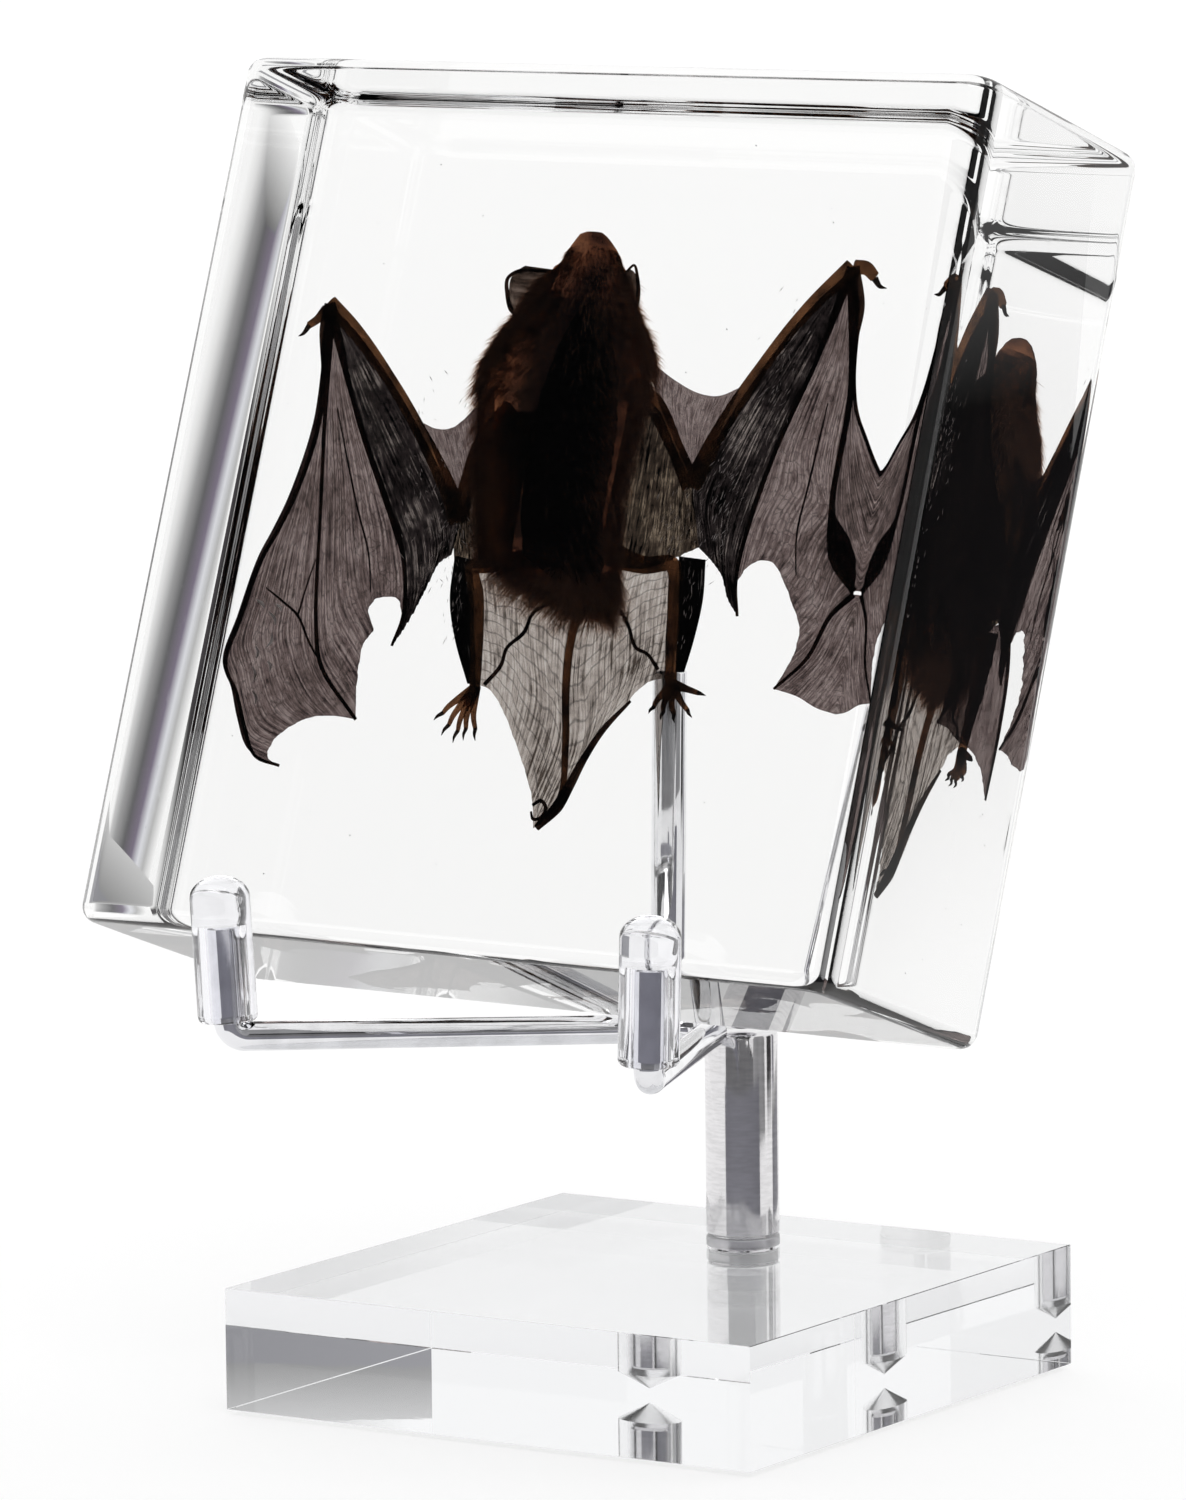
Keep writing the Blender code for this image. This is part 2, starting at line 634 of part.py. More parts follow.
def make_sleeve(name, prong, lean):
    shell = lathe(
        name,
        [
            (0, SLEEVE_TOP),
            (SLEEVE_RADIUS * 0.55, SLEEVE_TOP - SLEEVE_DOME * 0.15),
            (SLEEVE_RADIUS * 0.85, SLEEVE_TOP - SLEEVE_DOME * 0.5),
            (SLEEVE_RADIUS, SLEEVE_TOP - SLEEVE_DOME),
            (SLEEVE_RADIUS, SLEEVE_BOTTOM + SLEEVE_FOOT_ROUND),
            (SLEEVE_RADIUS - SLEEVE_FOOT_ROUND, SLEEVE_BOTTOM),
            (SLEEVE_BORE, SLEEVE_BOTTOM),
            (SLEEVE_BORE, PRONG_TOP + GAP),
            (0, PRONG_TOP + GAP),
        ],
        24,
    )
    tilt = math.atan2(lean, 19.0)
    lean_over = Matrix.Rotation(tilt, 4, "Y")
    foot = Vector((prong[0], prong[1], ARM_Z_FRONT)) * MM
    down = Matrix.Translation((0, 0, -ARM_Z_FRONT * MM))
    shell.transform(Matrix.Translation(foot) @ lean_over @ down)
    add_object(name, shell, PARTS, VINYL)


def make_rod():
    rod = tube("rear_rod", [ROD_FOOT, ROD_TOP], [ROD_RADIUS] * 2, 4)
    add_object("rear_rod", rod, PARTS, CHROME)


clear_scene()
PARTS = new_collection("bat_in_resin_block")
WORK = new_collection("cutters")
WORK.hide_render = True

ACRYLIC = material("clear_acrylic", (0.93, 0.95, 0.96), 0.05, 0.0)
RESIN = material("clear_resin", (0.95, 0.95, 0.94), 0.05, 0.0)
VINYL = material("clear_vinyl", (0.82, 0.82, 0.85), 0.2, 0.0)
CHROME = material("chromed_wire", (0.80, 0.80, 0.82), 0.1, 1.0)
STEEL = material("steel_post", (0.66, 0.66, 0.67), 0.3, 1.0)
BAT_SKIN = material("bat_skin_and_fur", (0.10, 0.06, 0.045), 0.7, 0.0)

make_base()
make_collar()
make_post()
make_fork()
make_sleeve("left_sleeve", LEFT_PRONG, PRONG_LEAN)
make_sleeve("right_sleeve", RIGHT_PRONG, -PRONG_LEAN / 2)
make_rod()
make_resin()
make_bat()
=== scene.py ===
import math

import bpy
import numpy as np
from mathutils import Matrix, Vector


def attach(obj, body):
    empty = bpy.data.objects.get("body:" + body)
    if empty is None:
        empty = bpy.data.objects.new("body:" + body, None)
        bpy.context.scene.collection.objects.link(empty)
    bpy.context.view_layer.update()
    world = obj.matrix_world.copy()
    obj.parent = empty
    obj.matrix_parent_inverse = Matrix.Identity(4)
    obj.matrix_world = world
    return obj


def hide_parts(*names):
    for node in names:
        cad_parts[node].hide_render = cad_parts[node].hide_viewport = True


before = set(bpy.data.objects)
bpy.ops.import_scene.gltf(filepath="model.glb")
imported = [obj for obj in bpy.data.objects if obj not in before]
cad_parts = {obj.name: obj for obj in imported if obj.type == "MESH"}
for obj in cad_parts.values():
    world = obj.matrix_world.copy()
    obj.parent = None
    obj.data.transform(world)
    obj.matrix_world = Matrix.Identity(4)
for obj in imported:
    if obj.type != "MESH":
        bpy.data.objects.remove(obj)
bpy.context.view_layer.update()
MM = 0.001

# The clear base: a square of thick cast acrylic, sawn and polished on every face.
# One blind hole is drilled from the top for the post, off centre and towards the back,
# and the drill's cone shows at its floor.

BASE_SIDE = 75.0
BASE_THICK = 15.0
BASE_EDGE = 0.07
HOLE_RADIUS = 4.3
HOLE_FLOOR = 2.9
HOLE_TIP = 0.9
POST_X = 2.7
POST_Y = 16.8


def placed(name, places, faces):
    """A mesh of points in metres and of faces, put in the scene."""
    mesh = bpy.data.meshes.new(name)
    mesh.from_pydata(places, [], faces)
    made = bpy.data.objects.new(name, mesh)
    bpy.context.scene.collection.objects.link(made)
    return made


def surface(name, points, wrap=False, capped=False, sharp=40.0):
    """A mesh over a grid of points in mm, with a face between each four neighbours.

    With wrap the last column joins the first, and with capped the first and last rows are
    closed by one face each. A closed shape is turned so that its faces point outwards.
    """
    rows, columns = points.shape[:2]
    index = np.arange(rows * columns).reshape(rows, columns)
    near = index if wrap else index[:, :-1]
    far = np.roll(index, -1, axis=1) if wrap else index[:, 1:]
    quads = np.stack([near[:-1], far[:-1], far[1:], near[1:]], axis=-1).reshape(-1, 4)
    places = points.reshape(-1, 3) * MM
    faces = quads.tolist()
    if capped:
        faces += [index[0, ::-1].tolist(), index[-1].tolist()]
        corner = places[quads]
        middle = places.mean(axis=0)
        first = np.cross(corner[:, 1] - corner[:, 0], corner[:, 2] - corner[:, 0])
        second = np.cross(corner[:, 2] - corner[:, 0], corner[:, 3] - corner[:, 0])
        volume = np.sum((first + second) * (corner[:, 0] - middle))
        if volume < 0:
            faces = [face[::-1] for face in faces]
    made = placed(name, places.tolist(), faces)
    made.data.shade_smooth()
    made.data.set_sharp_from_angle(angle=math.radians(sharp))
    return made


def turned(name, profile, centre, sides=128):
    """A turned piece: the profile of (radius, height) points carried round a vertical axis."""
    angle = np.arange(sides) * 2 * np.pi / sides
    profile = np.array(profile, float)
    x = centre[0] + profile[:, :1] * np.cos(angle)
    y = centre[1] + profile[:, :1] * np.sin(angle)
    z = np.repeat(profile[:, 1:], sides, axis=1)
    return surface(name, np.stack([x, y, z], axis=-1), wrap=True, capped=True)


def new_material(name):
    """A material and its Principled shader."""
    made = bpy.data.materials.new(name)
    made.use_nodes = True
    return made, made.node_tree.nodes["Principled BSDF"]


def settle(node, values):
    """Sets the named inputs of a node to plain values."""
    for name, value in values.items():
        node.inputs[name].default_value = value
    return node


def new_node(near, kind, **settings):
    """A node in the same material as the given node or socket."""
    made = near.id_data.nodes.new(kind)
    for key, value in settings.items():
        setattr(made, key, value)
    return made


def feed(source, node, name):
    """Links a socket to the named input of a node."""
    source.id_data.links.new(source, node.inputs[name])


def object_place(shader):
    return new_node(shader, "ShaderNodeTexCoord").outputs["Object"]


def uv_place(shader, name):
    return new_node(shader, "ShaderNodeUVMap", uv_map=name).outputs["UV"]


def across_and_along(shader, name):
    """The two numbers of a piece's own UV."""
    split = new_node(shader, "ShaderNodeSeparateXYZ")
    feed(uv_place(shader, name), split, "Vector")
    return split.outputs["X"], split.outputs["Y"]


def stretched(source, stretch):
    mapping = settle(new_node(source, "ShaderNodeMapping"), {"Scale": stretch})
    feed(source, mapping, "Vector")
    return mapping.outputs["Vector"]


def noise(source, scale, detail=4.0, stretch=(1, 1, 1)):
    """Noise on the given coordinates, drawn out by the stretch."""
    made = settle(new_node(source, "ShaderNodeTexNoise"), {"Scale": scale, "Detail": detail})
    feed(stretched(source, stretch), made, "Vector")
    return made.outputs["Fac"]


def ramp(source, stops):
    """A colour ramp over the source, from (place, colour) stops. One number stands for a grey."""
    made = new_node(source, "ShaderNodeValToRGB")
    while len(made.color_ramp.elements) < len(stops):
        made.color_ramp.elements.new(0.5)
    for element, (place, colour) in zip(made.color_ramp.elements, stops):
        element.position = place
        element.color = (*(colour if isinstance(colour, tuple) else (colour,) * 3), 1.0)
    feed(source, made, "Fac")
    return made.outputs["Color"]


def maths(operation, *values):
    """A Math node over sockets and plain numbers, the first of them a socket."""
    made = new_node(values[0], "ShaderNodeMath", operation=operation)
    for socket, value in zip(made.inputs, values):
        if isinstance(value, float):
            socket.default_value = value
        else:
            value.id_data.links.new(value, socket)
    return made.outputs[0]


def mixed(first, second, blend="MULTIPLY"):
    """Two colours put together in full by the blend."""
    made = new_node(first, "ShaderNodeMix", data_type="RGBA", blend_type=blend)
    settle(made, {"Factor": 1.0})
    feed(first, made, "A")
    feed(second, made, "B")
    return made.outputs["Result"]


def bumped(shader, height, distance, strength):
    """Low relief from the height, that deep in metres."""
    bump = settle(new_node(shader, "ShaderNodeBump"), {"Distance": distance, "Strength": strength})
    feed(height, bump, "Height")
    feed(bump.outputs["Normal"], shader, "Normal")


def clear_material(name, tint, ior, roughness, grain, depth):
    """A clear plastic: full transmission, with faint marks in its polish."""
    made, shader = new_material(name)
    settle(shader, {"Base Color": (*tint, 1.0), "Transmission Weight": 1.0, "IOR": ior})
    place = object_place(shader)
    marks = noise(place, grain, 2.0)
    rough = ramp(marks, [(0.55, roughness), (0.8, roughness + 0.06)])
    feed(rough, shader, "Roughness")
    bumped(shader, noise(place, grain * 0.2, 1.0), depth * MM, 0.2)
    return made


def dressed(piece, finish, slot_name, *nodes):
    """Gives the piece its finish and hides the solids that it stands for. The slot name is not used."""
    piece.data.materials.clear()
    piece.data.materials.append(finish)
    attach(piece, "root")
    if nodes:
        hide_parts(*nodes)
    return piece


def square_ring(count, half):
    """Points round a square, count of them, with a point on each corner."""
    part = np.arange(count) / count * 4
    side = np.floor(part).astype(int)
    along = (part - side) * 2 - 1
    x = np.choose(side, [np.ones(count), -along, -np.ones(count), along]) * half
    y = np.choose(side, [along, np.ones(count), -along, -np.ones(count)]) * half
    return x, y


def base_plate():
    """The plate as rings: the drill cone and hole wall are circles, and the rest are squares.

    On each ring the point at angle a is (x0 + r cos a, y0 + r sin a), or the square's point there.
    """
    count = 160
    square_x, square_y = square_ring(count, 1.0)
    angle = np.arctan2(square_y, square_x)
    half = BASE_SIDE / 2
    rings = []
    for radius, height in (
        (0.05, HOLE_TIP),
        (HOLE_RADIUS * 0.5, (HOLE_TIP + HOLE_FLOOR) / 2),
        (HOLE_RADIUS, HOLE_FLOOR),
        (HOLE_RADIUS, HOLE_FLOOR + 0.1),
        (HOLE_RADIUS, BASE_THICK - 0.3),
        (HOLE_RADIUS + 0.15, BASE_THICK),
        (HOLE_RADIUS + 0.6, BASE_THICK),
    ):
        x = POST_X + radius * np.cos(angle)
        y = POST_Y + radius * np.sin(angle)
        rings.append(np.stack([x, y, np.full(count, height)], axis=-1))
    for reach, height in (
        (half - 1.0, BASE_THICK),
        (half - BASE_EDGE, BASE_THICK),
        (half, BASE_THICK - BASE_EDGE),
        (half, BASE_EDGE),
        (half - BASE_EDGE, 0.0),
        (half - 1.0, 0.0),
        (0.05, 0.0),
    ):
        rings.append(np.stack([square_x * reach, square_y * reach, np.full(count, height)], axis=-1))
    return surface("base_plate", np.stack(rings), wrap=True, capped=True, sharp=25.0)


acrylic = clear_material("polished_acrylic", (0.925, 0.93, 0.94), 1.49, 0.0, 900.0, 0.01)
drilled = clear_material("drilled_acrylic", (0.95, 0.95, 0.96), 1.49, 0.22, 1500.0, 0.05)
base_piece = dressed(base_plate(), acrylic, "clear_acrylic", "acrylic_base")
base_piece.data.materials.append(drilled)
centres = np.empty(len(base_piece.data.polygons) * 3)
base_piece.data.polygons.foreach_get("center", centres)
centres = centres.reshape(-1, 3) / MM - (POST_X, POST_Y, 0.0)
in_hole = (np.hypot(centres[:, 0], centres[:, 1]) < HOLE_RADIUS + 0.1) & (centres[:, 2] > HOLE_TIP / 2)
base_piece.data.polygons.foreach_set("material_index", in_hole.astype(np.int32))

# The post: a turned stainless bar with a spigot that drops into the base's hole.
# A thin clear washer sits between its shoulder and the base. The bar is polished, with only
# the faintest turning marks round it.

POST_RADIUS = 4.55
POST_TOP = 42.0
POST_SHOULDER = 16.8
SPIGOT_RADIUS = 4.0
SPIGOT_BOTTOM = 3.6
COLLAR_TOP = 16.5
COLLAR_BOTTOM = 15.3

post_piece = turned(
    "steel_post",
    [
        (0.05, POST_TOP),
        (POST_RADIUS - 0.35, POST_TOP),
        (POST_RADIUS - 0.1, POST_TOP - 0.1),
        (POST_RADIUS, POST_TOP - 0.35),
        (POST_RADIUS, POST_SHOULDER + 0.2),
        (POST_RADIUS - 0.2, POST_SHOULDER),
        (SPIGOT_RADIUS, POST_SHOULDER),
        (SPIGOT_RADIUS, SPIGOT_BOTTOM + 0.3),
        (SPIGOT_RADIUS - 0.3, SPIGOT_BOTTOM),
        (0.05, SPIGOT_BOTTOM),
    ],
    (POST_X, POST_Y),
)
washer = turned(
    "clear_washer",
    [
        (HOLE_RADIUS, COLLAR_TOP),
        (POST_RADIUS - 0.1, COLLAR_TOP),
        (POST_RADIUS, COLLAR_TOP - 0.1),
        (POST_RADIUS, COLLAR_BOTTOM + 0.1),
        (POST_RADIUS - 0.1, COLLAR_BOTTOM),
        (HOLE_RADIUS, COLLAR_BOTTOM),
        (HOLE_RADIUS, COLLAR_TOP - 0.001),
    ],
    (POST_X, POST_Y),
)
washer_plastic = clear_material("washer_plastic", (0.97, 0.97, 0.98), 1.35, 0.35, 400.0, 0.05)
dressed(washer, washer_plastic, "clear_acrylic", "post_collar")


def metal(name, colour, roughness, spread, grain, stretch, depth):
    """A metal whose shine varies with fine marks, drawn out by the stretch."""
    made, shader = new_material(name)
    settle(shader, {"Metallic": 1.0})
    place = object_place(shader)
    marks = noise(place, grain, 5.0, stretch)
    darker = tuple(c * 0.88 for c in colour)
    feed(ramp(marks, [(0.35, darker), (0.6, colour)]), shader, "Base Color")
    rough = ramp(marks, [(0.3, roughness), (0.75, roughness + spread)])
    feed(rough, shader, "Roughness")
    bumped(shader, marks, depth * MM, 0.25)
    return made


steel = metal("polished_steel", (0.78, 0.77, 0.78), 0.07, 0.05, 500.0, (1, 1, 5), 0.004)
dressed(post_piece, steel, "steel_post", "support_post")

# The wire holder: a fork of chromed round wire, bent to a V that is welded on the post.
# Each end turns up as a prong, and a separate straight rod rises behind the block,
# which rests on the fork and leans on the rod.

WIRE_RADIUS = 1.8
ARM_Z_FRONT = 45.8
ARM_Z_POST = 43.0
BEND_RADIUS = 2.2
LEFT_PRONG = (-36.8, -36.6)
RIGHT_PRONG = (25.4, -39.9)
LEFT_LEAN = -1.2
RIGHT_LEAN = 0.6
LEAN_RUN = 19.0
FORK_APEX = (2.3, 12.6)
FORK_BEND = 4.0
PRONG_TOP = 59.0
ROD_RADIUS = 2.1
ROD_FOOT = (2.7, 16.8, 42.3)
ROD_TOP = (3.2, 17.5, 83.3)


def rounded_path(corners, radii, steps=14):
    """Straight runs between the corners, with an arc of the given radius at each inner one."""
    points = [Vector(corners[0])]
    for before, corner, after, radius in zip(corners, corners[1:], corners[2:], radii):
        corner = Vector(corner)
        back = (Vector(before) - corner).normalized()
        ahead = (Vector(after) - corner).normalized()
        half = back.angle(ahead) / 2
        centre = corner + (back + ahead).normalized() * (radius / math.sin(half))
        start = corner + back * (radius / math.tan(half)) - centre
        end = corner + ahead * (radius / math.tan(half)) - centre
        whole = start.angle(end)
        for part in np.linspace(0, 1, steps):
            bend = start * math.sin((1 - part) * whole) + end * math.sin(part * whole)
            points.append(centre + bend / math.sin(whole))
    points.append(Vector(corners[-1]))
    return np.array([tuple(point) for point in points])


def carried(name, path, radius, sides=48, rounding=0.0, sharp=40.0):
    """A circle carried along a path in planes square to it, with the ends closed.

    Each plane is turned from the one before by the least turn, so that the tube doesn't twist.
    With rounding the radius shrinks over that length at each end, as on a filed wire.
    """
    path = np.asarray(path, float)
    radius = np.broadcast_to(np.asarray(radius, float), len(path))
    if rounding:
        fall = np.sin(np.linspace(0, np.pi / 2, 6))[1:]
        start = (path[0] - path[1]) / np.linalg.norm(path[0] - path[1])
        end = (path[-1] - path[-2]) / np.linalg.norm(path[-1] - path[-2])
        shrink = np.sqrt(1 - fall**2 * 0.98)
        head = path[0] + start * (fall[::-1, None] * rounding) - start * rounding
        tail = path[-1] + end * (fall[:, None] * rounding) - end * rounding
        inner = path.copy()
        inner[0] -= start * rounding
        inner[-1] -= end * rounding
        path = np.concatenate([head, inner, tail])
        radius = np.concatenate([radius[0] * shrink[::-1], radius, radius[-1] * shrink])
    along = np.gradient(path, axis=0)
    along /= np.linalg.norm(along, axis=1)[:, None]
    across = np.cross(along[0], (0.3, 0.5, 0.8))
    rows = []
    angle = np.arange(sides) * 2 * np.pi / sides
    for place, way, size in zip(path, along, radius):
        across = across - way * np.dot(across, way)
        across /= np.linalg.norm(across)
        other = np.cross(way, across)
        ring = np.outer(np.cos(angle), across) + np.outer(np.sin(angle), other)
        rows.append(place + ring * size)
    return surface(name, np.stack(rows), wrap=True, capped=True, sharp=sharp)


def prong_top(prong, lean):
    return (prong[0] + lean * (PRONG_TOP - ARM_Z_FRONT) / LEAN_RUN, prong[1], PRONG_TOP)


chrome = metal("chrome_plate", (0.86, 0.86, 0.88), 0.035, 0.04, 260.0, (1, 1, 1), 0.004)
fork_path = rounded_path(
    [
        prong_top(LEFT_PRONG, LEFT_LEAN),
        (*LEFT_PRONG, ARM_Z_FRONT),
        (*FORK_APEX, ARM_Z_POST),
        (*RIGHT_PRONG, ARM_Z_FRONT),
        prong_top(RIGHT_PRONG, RIGHT_LEAN),
    ],
    [BEND_RADIUS, FORK_BEND, BEND_RADIUS],
)
dressed(carried("wire_holder", fork_path, WIRE_RADIUS), chrome, "chromed_wire", "wire_fork")
rod = carried("back_rod", [ROD_FOOT, ROD_TOP], ROD_RADIUS, rounding=0.7)
dressed(rod, chrome, "chromed_wire", "rear_rod")

# The sleeves: two soft clear vinyl caps pushed over the prongs, so that the wire
# doesn't mark the block. They are moulded, with a domed end, and a little milky.

SLEEVE_RADIUS = 3.65
SLEEVE_BORE = 2.1
SLEEVE_BOTTOM = 47.6
SLEEVE_TOP = 65.4
SLEEVE_DOME = 2.6
SLEEVE_FOOT_ROUND = 0.8


def sleeve(name, prong, lean):
    """A turned cap, its outside from the dome down and its bore back up, tipped with its prong."""
    dome = np.linspace(0.02, np.pi / 2, 12)
    outside = [
        (SLEEVE_RADIUS * math.sin(a), SLEEVE_TOP - SLEEVE_DOME * (1 - math.cos(a))) for a in dome
    ]
    foot_turn = np.linspace(0, np.pi / 2, 6)
    centre = SLEEVE_RADIUS - SLEEVE_FOOT_ROUND, SLEEVE_BOTTOM + SLEEVE_FOOT_ROUND
    profile = outside + [
        (centre[0] + SLEEVE_FOOT_ROUND * math.cos(a), centre[1] - SLEEVE_FOOT_ROUND * math.sin(a))
        for a in foot_turn
    ]
    profile += [
        (SLEEVE_BORE, SLEEVE_BOTTOM),
        (SLEEVE_BORE, PRONG_TOP + 0.3),
        (0.02, PRONG_TOP + 0.35),
    ]
    made = turned(name, profile, (0.0, 0.0), sides=96)
    foot = Vector((*prong, ARM_Z_FRONT)) * MM
    tip = Matrix.Rotation(math.atan2(lean, LEAN_RUN), 4, "Y")
    made.data.transform(Matrix.Translation(foot) @ tip @ Matrix.Translation((0, 0, -ARM_Z_FRONT * MM)))
    return made


vinyl = clear_material("soft_vinyl", (0.95, 0.95, 0.975), 1.42, 0.03, 300.0, 0.3)
dressed(sleeve("left_cap", LEFT_PRONG, LEFT_LEAN), vinyl, "clear_vinyl", "left_sleeve")
dressed(sleeve("right_cap", RIGHT_PRONG, RIGHT_LEAN), vinyl, "clear_vinyl", "right_sleeve")

# The resin block: one clear casting, sanded and polished, with its edges rounded over.
# It leans back on the rod. It is one piece here, for the two solids that it is parted in.

BLOCK_LEFT = -57.1
BLOCK_RIGHT = 55.0
BLOCK_BELOW = -55.0
BLOCK_ABOVE = 55.6
BLOCK_THICK = 38.0
UPRIGHT_ROUND = 4.25
RIM_ROUND = 2.1
LEFT_SWELL = 0.34
RIGHT_SWELL = 0.12
BLOCK_LEAN = 19.57
BLOCK_TURN = -3.1
BLOCK_FRONT_EDGE = (-7.94, -34.42, 57.91)

block_place = (
    Matrix.Translation(Vector(BLOCK_FRONT_EDGE) * MM)
    @ Matrix.Rotation(math.radians(BLOCK_TURN), 4, "Z")
    @ Matrix.Rotation(math.radians(-BLOCK_LEAN), 4, "X")
    @ Matrix.Translation((0, 0, -BLOCK_BELOW * MM))
)


def rounded_block(name):
    """A rounded rectangle carried up the block, drawn in round the top and bottom rim.

    Each flat has a row of points just inside its edge, so that the rounding's shading ends there.
    The left and right sides were polished by hand, so they swell a little between their edges.
    """
    steps, margin, side_points = 16, 0.25, 24
    turn = np.linspace(0, np.pi / 2, steps)
    rim = RIM_ROUND * (1 - np.cos(turn))
    drop = RIM_ROUND * np.sin(turn)
    top, bottom = BLOCK_ABOVE - RIM_ROUND, BLOCK_BELOW + RIM_ROUND
    cap = RIM_ROUND + margin
    inset = np.concatenate([[cap], rim[::-1], [0.0, 0.0], rim, [cap]])
    flat = [top - margin, bottom + margin]
    height = np.concatenate([[BLOCK_ABOVE], top + drop[::-1], flat, bottom - drop, [BLOCK_BELOW]])
    rows = []
    for shrink, level in zip(inset, height):
        radius = max(UPRIGHT_ROUND - shrink, 0.4)
        left, right = BLOCK_LEFT + shrink + radius, BLOCK_RIGHT - shrink - radius
        near, far = shrink + radius, BLOCK_THICK - shrink - radius
        x, y = [], []
        corners = ((right, far, 0), (left, far, 1), (left, near, 2), (right, near, 3))
        for centre_x, centre_y, quarter in corners:
            angle = np.concatenate([turn[:1], turn, turn[-1:]]) + quarter * np.pi / 2
            slide = np.concatenate([[-margin], np.zeros(steps), [margin]])
            x.append(centre_x + radius * np.cos(angle) - slide * np.sin(angle))
            y.append(centre_y + radius * np.sin(angle) + slide * np.cos(angle))
            if quarter % 2:
                run = np.linspace(-1, 1, side_points + 2)[1:-1]
                way = quarter - 2
                swell = (LEFT_SWELL if way < 0 else RIGHT_SWELL) * (1 - run**2)
                x.append(np.full(side_points, centre_x + way * radius) + way * swell)
                y.append((near + far) / 2 + way * run * ((far - near) / 2 - margin))
        ring = np.stack([np.concatenate(x), np.concatenate(y)], axis=-1)
        rows.append(np.concatenate([ring, np.full((len(ring), 1), level)], axis=-1))
    made = surface(name, np.stack(rows), wrap=True, capped=True, sharp=60.0)
    made.data.transform(block_place)
    return made


def in_block(points):
    """From the block's own right, back and up, in mm, to the world."""
    turn = np.array(block_place.to_3x3())
    return points @ turn.T + np.array(block_place.translation) / MM


resin = clear_material("casting_resin", (0.985, 0.985, 0.98), 1.54, 0.0, 400.0, 0.0)
dressed(rounded_block("resin_block"), resin, "clear_resin", "resin_front", "resin_back")

# The bat: one dried specimen, laid in the mould with its wings spread and its head up.
# It lies on a plane that runs deeper into the block towards the tail.
# The wing skins are stretched between the finger bones, and each is a surface of its own here.

BAT_DEPTH = 26.6
BAT_SLOPE = 0.13
BAT_TWIST = 0.08
DRAWN_DEPTH = 27.8
DRAWN_SLOPE = 0.1
SIGHT_RIGHT = -0.414
SIGHT_UP = 0.098
seeded = np.random.default_rng(20)


def on_bat(points):
    """From the bat's sheet (right, towards the head, towards the front) to the world, in mm.

    The sheet is drawn at one depth and lies at another, so a point that lies deeper moves along
    the line of sight.
    """
    right, up, lift = points[..., 0], points[..., 1], points[..., 2]
    depth = BAT_DEPTH - BAT_SLOPE * up + BAT_TWIST * right
    deeper = depth - (DRAWN_DEPTH - DRAWN_SLOPE * up)
    return in_block(np.stack([right + SIGHT_RIGHT * deeper, depth - lift, up + SIGHT_UP * deeper], axis=-1))


def through(points, count):
    """A smooth curve through the points: a cubic between each two, with the mean slope at each."""
    points = np.array([p if len(p) == 3 else (*p, 0.0) for p in points], float)
    step = np.linalg.norm(np.diff(points, axis=0), axis=1) ** 0.5
    knot = np.concatenate([[0], np.cumsum(step)])
    slope = np.gradient(points, knot, axis=0)
    place = np.linspace(0, knot[-1], count)
    cell = np.clip(np.searchsorted(knot, place, side="right") - 1, 0, len(knot) - 2)
    run = (knot[cell + 1] - knot[cell])[:, None]
    part = ((place - knot[cell])[:, None]) / run
    a, b = points[cell], points[cell + 1]
    u, v = slope[cell] * run, slope[cell + 1] * run
    return (
        a * (2 * part**3 - 3 * part**2 + 1)
        + u * (part**3 - 2 * part**2 + part)
        + b * (3 * part**2 - 2 * part**3)
        + v * (part**3 - part**2)
    )


def grid_places(rows, columns):
    """Across and along a grid of points, each from 0 to 1."""
    point = np.arange(rows * columns)
    return np.stack([(point % columns) / (columns - 1), (point // columns) / (rows - 1)], axis=-1)


def unwrapped(made, name, uv):
    """Gives a piece its own UV, from one pair of numbers for each point."""
    loops = np.empty(len(made.data.loops), np.int32)
    made.data.loops.foreach_get("vertex_index", loops)
    layer = made.data.uv_layers.new(name=name)
    layer.data.foreach_set("uv", uv[loops].astype(np.float32).ravel())
    return made


def skin_panel(name, left, right, top, bottom, folds, fold_height, sag, size=(110, 150)):
    """Skin stretched between four edges: the sum of the two ruled sheets less the corners' sheet.

    Folds run along the bones: sines across the panel whose phase wanders along it, and they die
    out at the edges. The panel's own UV runs across and along it.
    """
    across, along = size
    s = np.linspace(0, 1, across)[None, :, None]
    t = np.linspace(0, 1, along)[:, None, None]
    edge_l = through(left, along)[:, None]
    edge_r = through(right, along)[:, None]
    edge_t = through(top, across)[None] if len(top) > 1 else edge_l[:1] * (1 - s) + edge_r[:1] * s
    edge_b = through(bottom, across)[None]
    ruled = edge_l * (1 - s) + edge_r * s + edge_t * (1 - t) + edge_b * t
    corners = (
        edge_l[:1] * (1 - s) * (1 - t)
        + edge_r[:1] * s * (1 - t)
        + edge_l[-1:] * (1 - s) * t
        + edge_r[-1:] * s * t
    )
    points = ruled - corners
    s, t = s[..., 0], t[..., 0]
    calm = np.clip(np.minimum(s, 1 - s) * 8, 0, 1) * (0.35 + 0.65 * np.clip(t * 3, 0, 1))
    height = np.zeros((along, across))
    for octave in range(5):
        count = folds * (1.7**octave) * seeded.uniform(0.8, 1.2)
        reach = seeded.uniform(0.3, 0.9)
        wander = reach * np.sin(2 * np.pi * (t * seeded.uniform(0.5, 1.6) + seeded.random()))
        phase = seeded.random() * 6.28
        height = height + np.sin(2 * np.pi * count * s + wander * 3 + phase) / (1.5**octave)
    points[..., 2] += height * calm * fold_height - sag * np.sin(np.pi * s) * np.sin(np.pi * t)
    return unwrapped(surface(name, on_bat(points), sharp=180.0), "panel", grid_places(along, across))


def soaked(shader, through_share, roughness):
    """Wet through with resin: no gloss, and an index of 1 lets the light pass unbent."""
    settle(shader, {"Transmission Weight": through_share, "IOR": 1.0, "Roughness": roughness})


